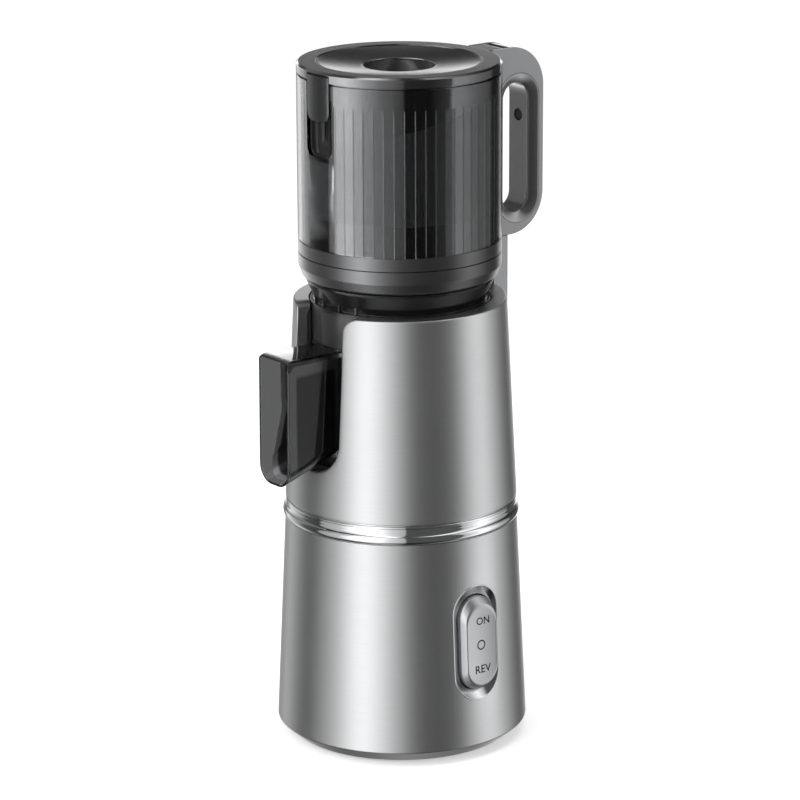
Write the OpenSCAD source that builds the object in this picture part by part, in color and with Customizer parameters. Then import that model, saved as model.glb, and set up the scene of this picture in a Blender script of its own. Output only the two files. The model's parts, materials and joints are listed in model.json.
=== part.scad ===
// Cold press juicer, in millimetres.
// The origin is on the machine's vertical axis at the floor. The spout faces -Y,
// the handle and its post are at +Y and the switch is at +X.

/* [Base] */
// Gap under the base that the rubber feet leave
foot_gap = 1.5; // [1:0.5:4]
// Largest radius of the base, just above its bottom bevel
base_r = 80; // [78:0.5:88]
// Radius of the base at its top edge
base_top_r = 73.7; // [72.5:0.1:76]
// Height of the base housing
base_h = 142.6; // [138:0.1:165]
// Height of the bottom bevel
bevel_h = 7.8; // [5:0.1:12]
// How far the bottom bevel steps in
bevel_in = 9.2; // [6:0.1:12]
// Wall of the base housing
base_wall = 2.5; // [2:0.1:3]
// Radius of a rubber foot
foot_r = 7; // [5:0.5:9]

/* [Polished ring] */
// Height of the ring between the two housings
ring_h = 12.7; // [10:0.1:16]
// How far the ring stands out past the base's top edge
ring_bulge = 1.5; // [0.5:0.1:2.5]

/* [Upper housing] */
// Height of the upper housing
shell_h = 128.6; // [122:0.1:145]
// Radius of the upper housing at its rim
shell_top_r = 67; // [65.5:0.1:69]
// Step from the base's top radius in to the upper housing's foot
shell_step = 0.2; // [0:0.1:1]
// Wall of the upper housing
shell_wall = 2.5; // [2:0.1:3]
// Thickness of the flat rim
rim_t = 3; // [2:0.5:4]
// Edge rounding of the rim
rim_round = 1.5; // [0.5:0.1:2]
// Width of the front notch
notch_w = 46; // [42:1:50]
// Height of the notch's floor above the housing's foot
notch_floor = 27.7; // [22:0.1:34]
// Corner radius at the foot of the notch
notch_corner = 20; // [14:0.5:20]
// Corner radius at the mouth of the notch
notch_mouth = 9.5; // [4:0.5:12]

/* [Bowl and spout] */
// Outer radius of the bowl
bowl_r = 56.6; // [55:0.1:57.2]
// Wall of the bowl
bowl_wall = 2.4; // [2:0.1:2.8]
// Gap between the bowl and the housing's liner
bowl_gap = 0.8; // [0.5:0.1:1]
// How far the bowl's neck steps in above the rim
neck_step = 2.3; // [1.5:0.1:3]
// Bare height of the neck, from the rim to the hopper's ring
neck_h = 15; // [12:0.1:20]
// Width of the spout
spout_w = 31; // [26:0.5:34]
// Distance from the axis to the front of the spout
spout_reach = 99.4; // [92:0.1:108]
// Gap between the spout's underside and the notch's floor, at the housing's face
spout_clear = 4.1; // [2:0.1:8]
// Height of the spout's open front
spout_h = 82; // [74:0.1:86]
// Fall of the spout's floor towards the front, in degrees
spout_fall = 19; // [12:0.5:22]
// Wall of the spout
spout_wall = 2; // [1.5:0.1:2.5]
// Corner radius under the spout
spout_corner = 12; // [8:0.5:13]
// Rounding of the spout's top front edge, seen from the side
spout_nose = 5; // [3:0.5:7]

/* [Hopper] */
// Outer radius of the hopper
hopper_r = 63.7; // [63:0.1:65]
// Height of the clear hopper
hopper_h = 112.4; // [105:0.1:125]
// Wall of the hopper
hopper_wall = 2.6; // [2.2:0.1:2.8]
// Height of the dark ring under the hopper
hopper_ring_h = 15.2; // [13:0.1:18]
// How far that ring tapers in towards its lower edge
hopper_ring_taper = 2.1; // [1:0.1:2.5]
// Depth of the front slot below the hopper's mouth
slot_drop = 45.8; // [40:0.1:52]
// Number of fine ribs in the drum
drum_ribs = 60; // [40:4:72]

/* [Lid] */
// Height of the lid's side
lid_h = 7; // [6:0.1:9]
// Chamfer of the lid's top edge
lid_edge = 1.4; // [0.8:0.1:2]
// Radius of the dished disc
dish_r = 51.3; // [46:0.1:53]
// Radius of the hollow sphere that dishes the disc
dish_sphere_r = 380; // [300:10:600]
// Inner radius of the feed tube
feed_r = 22.5; // [20:0.5:24]
// Wall of the feed tube
feed_wall = 2.3; // [1.8:0.1:3]
// Length of the feed tube below the lid
feed_len = 34; // [25:1:40]
// Width of the front tab
tab_w = 21.4; // [18:0.2:24]
// Length of the front tab below the lid's side
tab_drop = 23.8; // [18:0.1:30]
// How far the lid opens, in degrees
lid_open = 100; // [60:5:105]

/* [Handle] */
// Width of the handle
handle_w = 25; // [22:0.5:28]
// Distance from the axis to the handle's outer face
handle_reach = 106; // [103:0.5:112]
// Outer corner radius of the handle
handle_corner = 26; // [20:0.5:27]
// Thickness of the handle above the finger gap
handle_top_t = 16.8; // [14:0.1:20]
// Thickness of the handle below the finger gap
handle_foot_t = 6.9; // [5:0.1:9]
// Thickness of the outer strap
handle_strap = 3.8; // [3:0.1:5]
// Thickness of the handle between the hopper and the opening
handle_root = 5.3; // [4:0.1:8]
// Thickness of a side plate
plate_t = 1.8; // [1.2:0.1:2.4]
// How far the grip is crowned
grip_crown = 6.6; // [4:0.1:7]
// Corner radius of the grip
grip_round = 5.5; // [3:0.1:6]
// Radius of the screw plug
plug_r = 3.6; // [3:0.1:4.5]
// Distance from the axis to the lid's hinge
hinge_y = 74; // [73:0.5:76]
// Radius of the hinge pin
hinge_pin_r = 2; // [1.5:0.1:2.5]

/* [Rear post] */
// Distance from the axis to the back of the post
post_reach = 78.6; // [77:0.1:82]
// Radius of the interlock rod
rod_r = 2.4; // [2:0.1:3]
// Travel of the interlock rod
rod_travel = 2; // [1:0.5:3]

/* [Switch] */
// Height of the switch's centre above the bottom of the base
switch_up = 74.6; // [70:0.1:80]
// Width of the switch's recess
switch_w = 36.4; // [34:0.2:40]
// Height of the switch's recess
switch_h = 73.6; // [68:0.2:78]
// Width of the knob
knob_w = 29.5; // [26:0.1:31]
// Height of the knob
knob_h = 62.4; // [56:0.1:65]
// How far the knob's flank leans in
knob_lean = 4.2; // [3:0.1:5]
// Height of the knob above the housing
knob_out = 5; // [3:0.1:6]
// Depth of the recess
recess_depth = 6; // [5:0.1:8]
// Tilt of the knob each way, in degrees
knob_tilt = 6; // [3:1:7]

/* [Drive] */
// Height of the motor
motor_h = 70; // [60:1:72]
// Radius of the motor
motor_r = 33; // [28:0.5:36]
// Radius of the output shaft
shaft_r = 6; // [5:0.5:7]
// Module of the gears, their pitch diameter over their teeth
gear_module = 1; // [0.9:0.05:1]
// Teeth of the two small gears
small_teeth = 12; // [10:1:12]
// Teeth of the two large gears
large_teeth = 48; // [44:1:48]
// Width of a gear
gear_w = 6; // [5:0.5:7]

/* [Auger] */
// Radius of the auger's flights
auger_r = 45.4; // [40:0.1:46]
// Turn of the auger's flights, in degrees
auger_turn = 420; // [300:10:500]
// Number of flights
auger_starts = 2; // [1:1:3]
// Gap between the auger and the strainer
strainer_gap = 0.6; // [0.4:0.1:1]
// Wall of the strainer
strainer_wall = 1.6; // [1.2:0.1:2]
// Height of the nose on the cutting wing
nose_h = 64; // [50:1:70]

/* [Hidden] */
$fn = 96;
eps = 0.01;
// Clearance of parts that are fixed together, of a running pin and of parts that pass each other
seat_gap = 0.05;
run_gap = 0.05;
part_gap = 0.3;

// Heights of the stack
base_z = foot_gap;
ring_z = base_z + base_h;
shell_z = ring_z + ring_h;
rim_z = shell_z + shell_h;
hopper_ring_z = rim_z + neck_h;
hopper_z = hopper_ring_z + hopper_ring_h;
lid_z = hopper_z + hopper_h + part_gap;
top_z = lid_z + lid_h;

// Radii that follow from their neighbours
shell_r = base_top_r - shell_step;
liner_r = bowl_r + bowl_gap;
liner_wall = 2.5;
neck_r = bowl_r - neck_step;
hopper_in_r = hopper_r - hopper_wall;
hopper_ring_foot_r = hopper_r - hopper_ring_taper;

function base_radius(z) = base_r
    + (base_top_r - base_r) * (z - base_z - bevel_h) / (base_h - bevel_h);
function shell_radius(z) = shell_r + (shell_top_r - shell_r) * (z - shell_z) / shell_h;

// The mouth's rounded corners meet the rim at a slight angle
mouth_lift = 0.2;

// Deck, gearbox and motor, from the ring down
deck_z = ring_z + 2;
deck_t = 5;
deck_r = shell_r - shell_wall - seat_gap;
deck_foot = 4;
cover_t = 3;
cover_z = deck_z - deck_foot - cover_t;
gearbox_r = 59;
gearbox_wall = 2.5;
gearbox_floor = 3;
gear_gap = 0.8;
gearbox_head = 7;
gearbox_h = gearbox_floor + 2 * gear_w + 4 * gear_gap + gearbox_head;
gearbox_z = cover_z - gearbox_h;
motor_z = gearbox_z - motor_h;
motor_wall = 2;
motor_slot_h = 10;
motor_slot_up = 5;
rotor_r = motor_r - motor_wall - 6;
rotor_z = motor_z + 24;
rotor_top_z = gearbox_z - 12;
fan_r = motor_r - motor_wall - 3;
fan_z = motor_z + 12;
fan_h = 6;
fan_disc_t = 1.5;
fan_hub_r = 8;
fan_blades = 12;
blade_t = 1.4;

// Cradle that carries the motor
damper_t = 4;
damper_r = 5;
cradle_t = 4;
cradle_half_w = 8;
cradle_post_r = 5;
cradle_top_z = motor_z - damper_t;

// Bottom plate with its feet and screws
lip_w = 4;
lip_t = 2.5;
lip_r = base_r - bevel_in - lip_w;
floor_t = 5;
plate_top = base_z + floor_t;
foot_seat = 2;
foot_place_r = lip_r - foot_r - 3;
mount_r = 28;
screw_r = 1.6;
screw_head_r = 3.2;
screw_head_h = 2;
screw_bite = 8;
vent_w = 3;
vent_l = 10;
vent_in_r = 38;
vent_step = 15;

// Gears
pinion_z = gearbox_z + gearbox_floor + gear_gap;
output_gear_z = pinion_z + gear_w + 2 * gear_gap;
gear_distance = gear_module * (small_teeth + large_teeth) / 2;
idler_pin_r = 3;
motor_shaft_r = 3;

// Drive up through the deck
bearing_r = shaft_r + 5;
bearing_w = 7;
tower_wall = 4;
tower_h = 15;
tower_r = bearing_r + tower_wall;
tower_z = deck_z + deck_t + tower_h;
seal_t = 4;
tower_bearing_z = tower_z - seal_t - bearing_w - 1;
spindle_r = shaft_r + 2;
spindle_h = 22;
spindle_z = tower_z + 2;

// Bowl
bowl_skirt_z = deck_z + deck_t + part_gap;
bowl_floor_z = tower_z + 1.5;
bowl_floor_t = 3;
bowl_rim_z = rim_z - 0.4;
shoulder_z = bowl_rim_z - bowl_wall;
// Collar under the floor that runs round the deck's tower
collar_h = 6;
collar_gap = 1.5;
collar_wall = 2.5;
hub_r = spindle_r + 1.5;
hub_seal_w = 5;
hub_seal_t = 2;
neck_top_z = hopper_ring_z + 12;
strainer_r = auger_r + strainer_gap;
strainer_z = bowl_floor_z + bowl_floor_t;
strainer_floor_t = 2.5;
auger_z = strainer_z + strainer_floor_t + 1;
strainer_top_z = rim_z - 9;
auger_top_z = strainer_top_z - 7;
auger_base_t = 5;
flight_z = auger_z + auger_base_t;
flight_w = 5;
core_foot_r = 24;
core_top_r = 15;

// Spout
spout_foot_z = shell_z + notch_floor + spout_clear - (spout_reach - shell_r) * tan(spout_fall);
spout_top_z = spout_foot_z + spout_h;
frame_t = 1.8;
frame_lift = 12;
port_w = spout_w - 7;
port_top_z = spout_top_z - 12;
port_h = 42;

// Hopper and lid
slot_gap = 0.8;
slot_w = tab_w + 2 * slot_gap;
slot_z = lid_z - part_gap - slot_drop;
funnel_z = hopper_z + 8;
drum_r = hopper_in_r - 0.5;
drum_wall = 2.2;
drum_top_z = lid_z - 12;
pocket_wall = 2.8;
lid_floor_t = 2.5;
lid_floor_z = lid_z - 1.8;
plug_skirt_wall = 2.7;
plug_skirt_h = 8;
feed_flange_r = feed_r + 7.5;
tab_t = hopper_wall - 0.3;
skirt_r = hopper_in_r - 0.7;
gasket_z = lid_z - 5.6;
gasket_h = 2.6;
gasket_r = hopper_in_r - 0.5;
gasket_seat_r = skirt_r - 1;
tab_top_z = top_z - lid_edge - 1.6;
// Space that the lid's rear edge sweeps through as it swings up
lid_swing_gap = 1.8;

// Handle
handle_top_z = top_z - 0.4;
handle_foot_z = hopper_z - 0.7;
gap_top_z = handle_top_z - handle_top_t;
gap_foot_z = handle_foot_z + handle_foot_t;
gap_half = (handle_reach - handle_strap - hopper_r - handle_root) / 2;
gap_y = hopper_r + handle_root + gap_half;
hinge_z = handle_top_z - hinge_pin_r - 3.4;
knuckle_r = hinge_pin_r + 3.2;
knuckle_w = handle_w - 2 * plate_t - 1;
plug_z = gap_top_z - 29.6;

// Rear post
post_half = handle_w / 2;
post_corner = 3;
post_top_z = handle_foot_z - part_gap;
rod_y = (shell_top_r + post_reach) / 2;
rod_foot_z = rim_z - 16;

// Switch
switch_z = base_z + switch_up;
switch_r = base_radius(switch_z);
switch_lean = atan((base_r - base_top_r) / (base_h - bevel_h));
bezel_back = 12;
rocker_pin_r = 1.5;
rocker_pin_in = 4.5;
switch_body_w = 24;
switch_body_h = 46;
switch_body_depth = 18;
switch_flange_t = 3;
// The three flat terminals behind the switch body, which bite a little way into it
terminal_w = 6;
terminal_t = 0.8;
terminal_l = 9;
terminal_step = 14;
terminal_in = 0.5;

// Control board
board_w = 44;
board_h = 30;
board_t = 1.6;
board_in = 17;
chip_w = 8;
chip_t = 5.4;

// Power inlet
inlet_w = 28;
inlet_h = 20;
inlet_up = 20;
inlet_depth = 22;
inlet_z = base_z + bevel_h + inlet_up;
inlet_y = base_radius(inlet_z + inlet_h / 2) + 0.2;
socket_w = 22;
socket_h = 14;
socket_depth = 16;

// Colours
silver = [0.66, 0.67, 0.68];
graphite = [0.12, 0.12, 0.13];
smoke = [0.25, 0.26, 0.28, 0.6];
steel = [0.75, 0.75, 0.77];
rubber_black = [0.06, 0.06, 0.06];
brass = [0.8, 0.65, 0.3];

// --- Shared shapes ---

// An upright tube from z0 to z1
module tube(z0, z1, r_out, r_in) {
    difference() {
        translate([0, 0, z0]) cylinder(r = r_out, h = z1 - z0);
        translate([0, 0, z0 - 1]) cylinder(r = r_in, h = z1 - z0 + 2);
    }
}

// An upright disc or post from z0 to z1
module disc(z0, z1, r) {
    translate([0, 0, z0]) cylinder(r = r, h = z1 - z0);
}

// A cone's solid between two heights
module cone(z0, r0, z1, r1) {
    translate([0, 0, z0]) cylinder(r1 = r0, r2 = r1, h = z1 - z0);
}

// A box between two corners
module span(low, high) {
    translate(low) cube(high - low);
}

// A flat slot shape with round ends, upright along its second axis
module stadium(w, h) {
    square([w, h - w], center = true);
    for (side = [-1, 1]) translate([0, side * (h - w) / 2]) circle(d = w);
}

// A stadium solid whose flanks lean in evenly
module leaning_stadium(w0, w1, length, h) {
    for (side = [-1, 1]) translate([0, side * length / 2, 0]) cylinder(d1 = w0, d2 = w1, h = h);
    rotate([90, 0, 0]) linear_extrude(length, center = true)
        polygon([[-w0 / 2, 0], [w0 / 2, 0], [w1 / 2, h], [-w1 / 2, h]]);
}

// Places a flat shape drawn in (y, z) into the YZ plane, as a slab from x0 to x1
module side_slab(x0, x1) {
    translate([x0, 0, 0]) rotate([90, 0, 90]) linear_extrude(x1 - x0) children();
}

// Places a flat shape drawn in (x, z) as a slab that reaches from y0 forward to y1
module front_slab(y0, y1) {
    translate([0, y0, 0]) rotate([90, 0, 0]) linear_extrude(y0 - y1) children();
}

// Flat gear whose teeth are trapezoids that thin towards their tips
module flat_gear(teeth) {
    pitch_r = gear_module * teeth / 2;
    root_r = pitch_r - 1.2 * gear_module;
    tip_r = pitch_r + 0.85 * gear_module;
    step = 360 / teeth;
    // Each corner is [radius, place as a share of one tooth's step]
    corners = [[root_r, -0.33], [tip_r, -0.11], [tip_r, 0.11], [root_r, 0.33]];
    polygon([for (t = [0 : teeth - 1], c = corners)
        c[0] * [cos((t + c[1]) * step), sin((t + c[1]) * step)]]);
}

// --- Base ---

module base_skirt() {
    foot_edge_r = base_r - bevel_in;
    lip_z = base_z + lip_t;
    bevel_z = base_z + bevel_h;
    color(silver) rotate_extrude() polygon([
        [foot_edge_r, base_z], [base_r, bevel_z], [base_r - base_wall, bevel_z],
        [foot_edge_r - 1, lip_z], [lip_r, lip_z], [lip_r, base_z]]);
}

module base_shell() {
    bevel_z = base_z + bevel_h;
    color(silver) difference() {
        rotate_extrude() polygon([
            [base_r, bevel_z], [base_top_r, ring_z],
            [base_top_r - base_wall, ring_z], [base_r - base_wall, bevel_z]]);
        at_switch() translate([0, 0, -2 * base_wall]) linear_extrude(4 * base_wall)
            stadium(switch_w + 2 * seat_gap, switch_h + 2 * seat_gap);
        inlet_space(seat_gap);
    }
}

module bottom_plate() {
    plate_r = lip_r - part_gap;
    color(graphite) difference() {
        union() {
            disc(base_z, plate_top, plate_r);
            disc(base_z + lip_t, plate_top, plate_r + 2);
        }
        foot_places() disc(0, base_z + foot_seat, foot_r + seat_gap);
        for (a = [45 : 90 : 315]) rotate(a) {
            translate([mount_r, 0, base_z - 1]) cylinder(r = screw_head_r + part_gap, h = 1 + screw_head_h);
            translate([mount_r, 0, 0]) cylinder(r = screw_r + seat_gap, h = 2 * plate_top);
        }
        for (a = [0 : vent_step : 359]) rotate(a)
            translate([vent_in_r, -vent_w / 2, 0]) cube([vent_l, vent_w, 2 * plate_top]);
    }
}

// One foot stands on the axis and four stand around it
module foot_places() {
    children();
    for (a = [45 : 90 : 315]) rotate(a) translate([foot_place_r, 0, 0]) children();
}

module rubber_feet() {
    color(rubber_black) foot_places() disc(0, base_z + foot_seat, foot_r);
}

module plate_screws() {
    color(steel) for (a = [45 : 90 : 315]) rotate(a) translate([mount_r, 0, 0]) {
        disc(base_z, base_z + screw_head_h, screw_head_r);
        disc(base_z + eps, plate_top + screw_bite, screw_r);
    }
}

module motor_cradle() {
    color(graphite) difference() {
        union() {
            tube(cradle_top_z - cradle_t, cradle_top_z, mount_r + cradle_half_w, mount_r - cradle_half_w);
            for (a = [45 : 90 : 315]) rotate(a) translate([mount_r, 0, 0])
                disc(plate_top, cradle_top_z - cradle_t + eps, cradle_post_r);
        }
        for (a = [45 : 90 : 315]) rotate(a) translate([mount_r, 0, plate_top - 1])
            cylinder(r = screw_r + seat_gap, h = screw_bite + 2);
    }
}

module motor_dampers() {
    color(rubber_black) for (a = [45 : 90 : 315]) rotate(a) translate([mount_r - 2, 0, 0])
        disc(cradle_top_z, motor_z, damper_r);
}

// --- Motor and gears ---

module motor_can() {
    color(steel) difference() {
        disc(motor_z, gearbox_z, motor_r);
        disc(motor_z + motor_wall, gearbox_z - motor_wall, motor_r - motor_wall);
        disc(motor_z + motor_wall - 1, gearbox_z + 1, motor_shaft_r + run_gap);
        for (a = [0 : 60 : 300]) rotate(a)
            translate([motor_r - 2 * motor_wall, -motor_wall, motor_z + motor_slot_up])
                cube([4 * motor_wall, 2 * motor_wall, motor_slot_h]);
    }
}

module motor_rotor() {
    color(steel) union() {
        disc(motor_z + motor_wall - 0.6, pinion_z + gear_w, motor_shaft_r);
        disc(rotor_z, rotor_top_z, rotor_r);
    }
}

module motor_fan() {
    color(graphite) difference() {
        union() {
            disc(fan_z, fan_z + fan_h + fan_disc_t, fan_hub_r);
            disc(fan_z + fan_h, fan_z + fan_h + fan_disc_t, fan_r);
            for (i = [0 : fan_blades - 1]) rotate(i * 360 / fan_blades)
                span([fan_hub_r - 1, -blade_t / 2, fan_z], [fan_r - 1, blade_t / 2, fan_z + fan_h + eps]);
        }
        disc(fan_z - 1, fan_z + 2 * fan_h, motor_shaft_r + seat_gap);
    }
}

module motor_pinion() {
    color(brass) difference() {
        translate([0, 0, pinion_z]) linear_extrude(gear_w) flat_gear(small_teeth);
        disc(pinion_z - 1, pinion_z + gear_w + 1, motor_shaft_r + seat_gap);
    }
}

module gearbox_cup() {
    color(graphite) difference() {
        disc(gearbox_z, cover_z, gearbox_r);
        disc(gearbox_z + gearbox_floor, cover_z + 1, gearbox_r - gearbox_wall);
        disc(gearbox_z - 1, cover_z, motor_shaft_r + run_gap);
        translate([0, gear_distance, 0]) disc(gearbox_z + 1, cover_z, idler_pin_r + seat_gap);
    }
}

module gearbox_cover() {
    color(graphite) difference() {
        disc(cover_z, cover_z + cover_t, gearbox_r);
        disc(cover_z - 1, cover_z + cover_t + 1, shaft_r + run_gap);
        translate([0, gear_distance, 0]) disc(cover_z - 1, cover_z + 2, idler_pin_r + seat_gap);
    }
}

module idler_pin() {
    color(steel) translate([0, gear_distance, 0]) disc(gearbox_z + 1, cover_z + 2, idler_pin_r);
}

module idler_gear() {
    small_z = pinion_z + gear_w;
    color(brass) translate([0, gear_distance, 0]) difference() {
        union() {
            translate([0, 0, pinion_z]) rotate(mesh_turn(small_teeth, large_teeth))
                linear_extrude(gear_w) flat_gear(large_teeth);
            translate([0, 0, small_z - eps]) rotate(-90)
                linear_extrude(gear_w + 3 * gear_gap) flat_gear(small_teeth);
        }
        disc(pinion_z - 1, cover_z, idler_pin_r + run_gap);
    }
}

// Turn of a gear at +Y of the axis so that a gap between its teeth faces the axis gear's tooth
function mesh_turn(axis_teeth, own_teeth) = -90 + 180 / own_teeth
    + axis_tooth_offset(axis_teeth) * axis_teeth / own_teeth;
// How far the axis gear's nearest tooth is turned from +Y, in degrees
function axis_tooth_offset(teeth) = 90 - round(90 * teeth / 360) * 360 / teeth;

module output_gear() {
    // The idler's small gear has a tooth at -Y, so a gap of this gear faces +Y
    color(brass) difference() {
        union() {
            translate([0, 0, output_gear_z]) rotate(90 + 180 / large_teeth)
                linear_extrude(gear_w) flat_gear(large_teeth);
            disc(output_gear_z + gear_w - eps, cover_z - 1, shaft_r + 3);
        }
        disc(output_gear_z - 1, cover_z, shaft_r + seat_gap);
    }
}

module output_shaft() {
    color(steel) union() {
        disc(output_gear_z, spindle_z + eps, shaft_r);
        translate([0, 0, spindle_z]) cylinder(r = spindle_r, h = spindle_h, $fn = 6);
    }
}

module shaft_bearings() {
    color(steel) tube(deck_z, deck_z + bearing_w, bearing_r, shaft_r + run_gap);
    color(steel) tube(tower_bearing_z, tower_bearing_z + bearing_w, bearing_r, shaft_r + run_gap);
}

module shaft_seal() {
    color(rubber_black) tube(tower_z - seal_t, tower_z, bearing_r, shaft_r + run_gap);
}

module deck() {
    color(graphite) difference() {
        union() {
            disc(deck_z, deck_z + deck_t, deck_r);
            tube(deck_z - deck_foot, deck_z + eps, gearbox_r, gearbox_r - 8);
            disc(deck_z + deck_t - eps, tower_z, tower_r);
        }
        disc(deck_z - 1, tower_z + 1, shaft_r + 1);
        disc(deck_z - 1, deck_z + bearing_w, bearing_r + seat_gap);
        disc(tower_bearing_z, tower_z + 1, bearing_r + seat_gap);
    }
}

module chrome_ring() {
    bead_r = base_top_r + ring_bulge;
    crease_r = base_top_r + 0.3;
    in_r = shell_r - shell_wall;
    color(steel) rotate_extrude() polygon([
        [in_r, ring_z], [base_top_r - 0.4, ring_z], [bead_r - 0.5, ring_z + 1.2], [bead_r, ring_z + 2.6],
        [bead_r - 0.1, ring_z + 3.6], [crease_r, ring_z + 0.6 * ring_h], [crease_r - 0.9, shell_z - 1.5],
        [shell_r - 0.6, shell_z], [in_r, shell_z]]);
}

// --- Upper housing ---

// The notch's outline in (x, z), open at the top; grow widens it all round
module notch_outline(grow) {
    floor_z = shell_z + notch_floor - grow;
    half = notch_w / 2 + grow;
    corner = notch_corner + grow;
    translate([-half, floor_z + corner]) square([2 * half, rim_z - floor_z - corner + 1]);
    translate([-half + corner, floor_z]) square([2 * (half - corner), corner + 1]);
    for (side = [-1, 1]) translate([side * (half - corner), floor_z + corner]) circle(r = corner);
}

// The two rounded corners where the notch meets the rim
module notch_mouth_outline() {
    arc_z = rim_z - notch_mouth + mouth_lift;
    for (side = [0, 1]) mirror([side, 0]) difference() {
        translate([notch_w / 2 - 1, arc_z]) square([notch_mouth + 1, notch_mouth + 1]);
        translate([notch_w / 2 + notch_mouth, arc_z]) circle(r = notch_mouth);
    }
}

module notch_cut(grow = 0) {
    front_slab(-1, -base_r - 20) {
        notch_outline(grow);
        notch_mouth_outline();
    }
}

module upper_shell() {
    wall_top_z = rim_z - rim_t;
    color(silver) difference() {
        cone(shell_z, shell_r, wall_top_z, shell_radius(wall_top_z));
        difference() {
            cone(shell_z - 1, shell_r - shell_wall, rim_z, shell_top_r - shell_wall);
            notch_cut(shell_wall);
        }
        notch_cut();
        disc(shell_z - 1, rim_z, liner_r + liner_wall + seat_gap);
    }
}

module shell_rim() {
    rim_foot_z = rim_z - rim_t;
    round_z = rim_z - rim_round;
    corner = 0.3 * rim_round;
    color(silver) difference() {
        rotate_extrude() polygon([
            [liner_r, rim_foot_z], [shell_radius(rim_foot_z), rim_foot_z], [shell_radius(round_z), round_z],
            [shell_radius(rim_z - corner) - corner, rim_z - corner], [shell_top_r - rim_round, rim_z],
            [liner_r, rim_z]]);
        notch_cut();
    }
}

module shell_liner() {
    color(graphite) difference() {
        tube(deck_z + deck_t, rim_z - rim_t, liner_r + liner_wall, liner_r);
        notch_cut();
    }
}

// --- Rear post with the lid's interlock ---

module rear_post() {
    switch_pocket = [14, 7.4, 24];
    corner_x = post_half - post_corner;
    corner_y = post_reach - post_corner;
    color(silver) difference() {
        union() {
            span([-post_half, shell_top_r - 6, shell_z + 1], [post_half, corner_y, post_top_z]);
            span([-corner_x, shell_top_r - 6, shell_z + 1], [corner_x, post_reach, post_top_z]);
            for (side = [-1, 1]) translate([side * corner_x, corner_y, 0])
                disc(shell_z + 1, post_top_z, post_corner);
        }
        cone(shell_z, shell_r + seat_gap, rim_z, shell_top_r + seat_gap);
        disc(rim_z - 1, post_top_z + 1, shell_top_r + seat_gap);
        translate([0, rod_y, 0]) disc(rod_foot_z, post_top_z + 1, rod_r + run_gap);
        translate([0, rod_y, rod_foot_z - switch_pocket[2] / 2 + 1]) cube(switch_pocket, center = true);
    }
}

module interlock_rod() {
    color(steel) translate([0, rod_y, 0]) disc(rod_foot_z + rod_travel + part_gap, post_top_z, rod_r);
}

module interlock_switch() {
    body = [13, 6.6, 20];
    color(graphite) union() {
        translate([0, rod_y, rod_foot_z - body[2] / 2 - 1.5]) cube(body, center = true);
        translate([0, rod_y, 0]) disc(rod_foot_z - 1.6, rod_foot_z, 1.2);
    }
}

// --- Switch ---

// Puts the switch's own frame on the housing: its Z axis points out of the housing, its Y axis is upright
module at_switch() {
    translate([switch_r, 0, switch_z]) rotate([0, 90 - switch_lean, 0]) rotate(90) children();
}

module switch_bezel() {
    rim_t_switch = 1.4;
    opening_w = knob_w + 1.4;
    opening_h = knob_h + 1.6;
    color(steel) difference() {
        intersection() {
            at_switch() translate([0, 0, -bezel_back]) linear_extrude(2 * bezel_back)
                stadium(switch_w, switch_h);
            cone(base_z, base_radius(base_z) + 0.4, ring_z, base_top_r + 0.4);
        }
        at_switch() {
            translate([0, 0, -recess_depth])
                leaning_stadium(opening_w, switch_w - 2 * rim_t_switch + 1.6, opening_h - opening_w,
                    recess_depth + 1);
            translate([0, 0, -bezel_back - 1]) linear_extrude(bezel_back + 2) stadium(opening_w, opening_h);
            rocker_axis(switch_w - 1.5, rocker_pin_r + run_gap);
        }
    }
}

module rocker_axis(length, r) {
    translate([0, 0, -rocker_pin_in]) rotate([0, 90, 0]) cylinder(r = r, h = length, center = true);
}

module rocker_knob() {
    skirt_h = 8.5;
    flank = knob_out - 1;
    color(silver) at_switch() union() {
        translate([0, 0, 1 - skirt_h]) linear_extrude(skirt_h + eps) stadium(knob_w, knob_h);
        translate([0, 0, 1]) leaning_stadium(knob_w, knob_w - 2 * knob_lean, knob_h - knob_w, flank);
        rocker_axis(switch_w - 1.6, rocker_pin_r);
    }
}

module switch_body() {
    terminal_z = -switch_body_depth - terminal_l / 2 + terminal_in;
    color(graphite) at_switch() translate([0, 0, -bezel_back]) union() {
        translate([0, 0, -switch_flange_t])
            linear_extrude(switch_flange_t) stadium(switch_w - 1, switch_h - 1);
        translate([0, 0, -switch_body_depth / 2])
            cube([switch_body_w, switch_body_h, switch_body_depth], center = true);
        for (place = [-1 : 1]) translate([0, place * terminal_step, terminal_z])
            cube([terminal_w, terminal_t, terminal_l], center = true);
    }
}

module control_board() {
    color([0.1, 0.3, 0.15]) translate([0, -lip_r + board_in, plate_top]) union() {
        span([-board_w / 2, -board_t, 0], [board_w / 2, 0, board_h]);
        for (x = [-1 : 1]) span([x * board_w / 3 - chip_w / 2, -eps, board_h / 4],
            [x * board_w / 3 + chip_w / 2, chip_t, board_h / 4 + chip_w]);
    }
}

// --- Power inlet ---

module inlet_space(grow) {
    translate([0, inlet_y - inlet_depth / 2, inlet_z])
        cube([inlet_w + 2 * grow, inlet_depth + 20, inlet_h + 2 * grow], center = true);
}

module power_inlet() {
    color(graphite) difference() {
        span([-inlet_w / 2, inlet_y - inlet_depth, inlet_z - inlet_h / 2],
            [inlet_w / 2, inlet_y, inlet_z + inlet_h / 2]);
        span([-socket_w / 2, inlet_y - socket_depth, inlet_z - socket_h / 2],
            [socket_w / 2, inlet_y + 1, inlet_z + socket_h / 2]);
        inlet_pin_places() cube([2 + 2 * seat_gap, 60, 1 + 2 * seat_gap], center = true);
    }
}

module inlet_pin_places() {
    for (x = [-7, 0, 7]) translate([x, inlet_y - socket_depth, inlet_z + 3.5]) children();
}

module inlet_pins() {
    color(brass) inlet_pin_places() cube([2, 24, 1], center = true);
}

// --- Bowl ---

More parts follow.
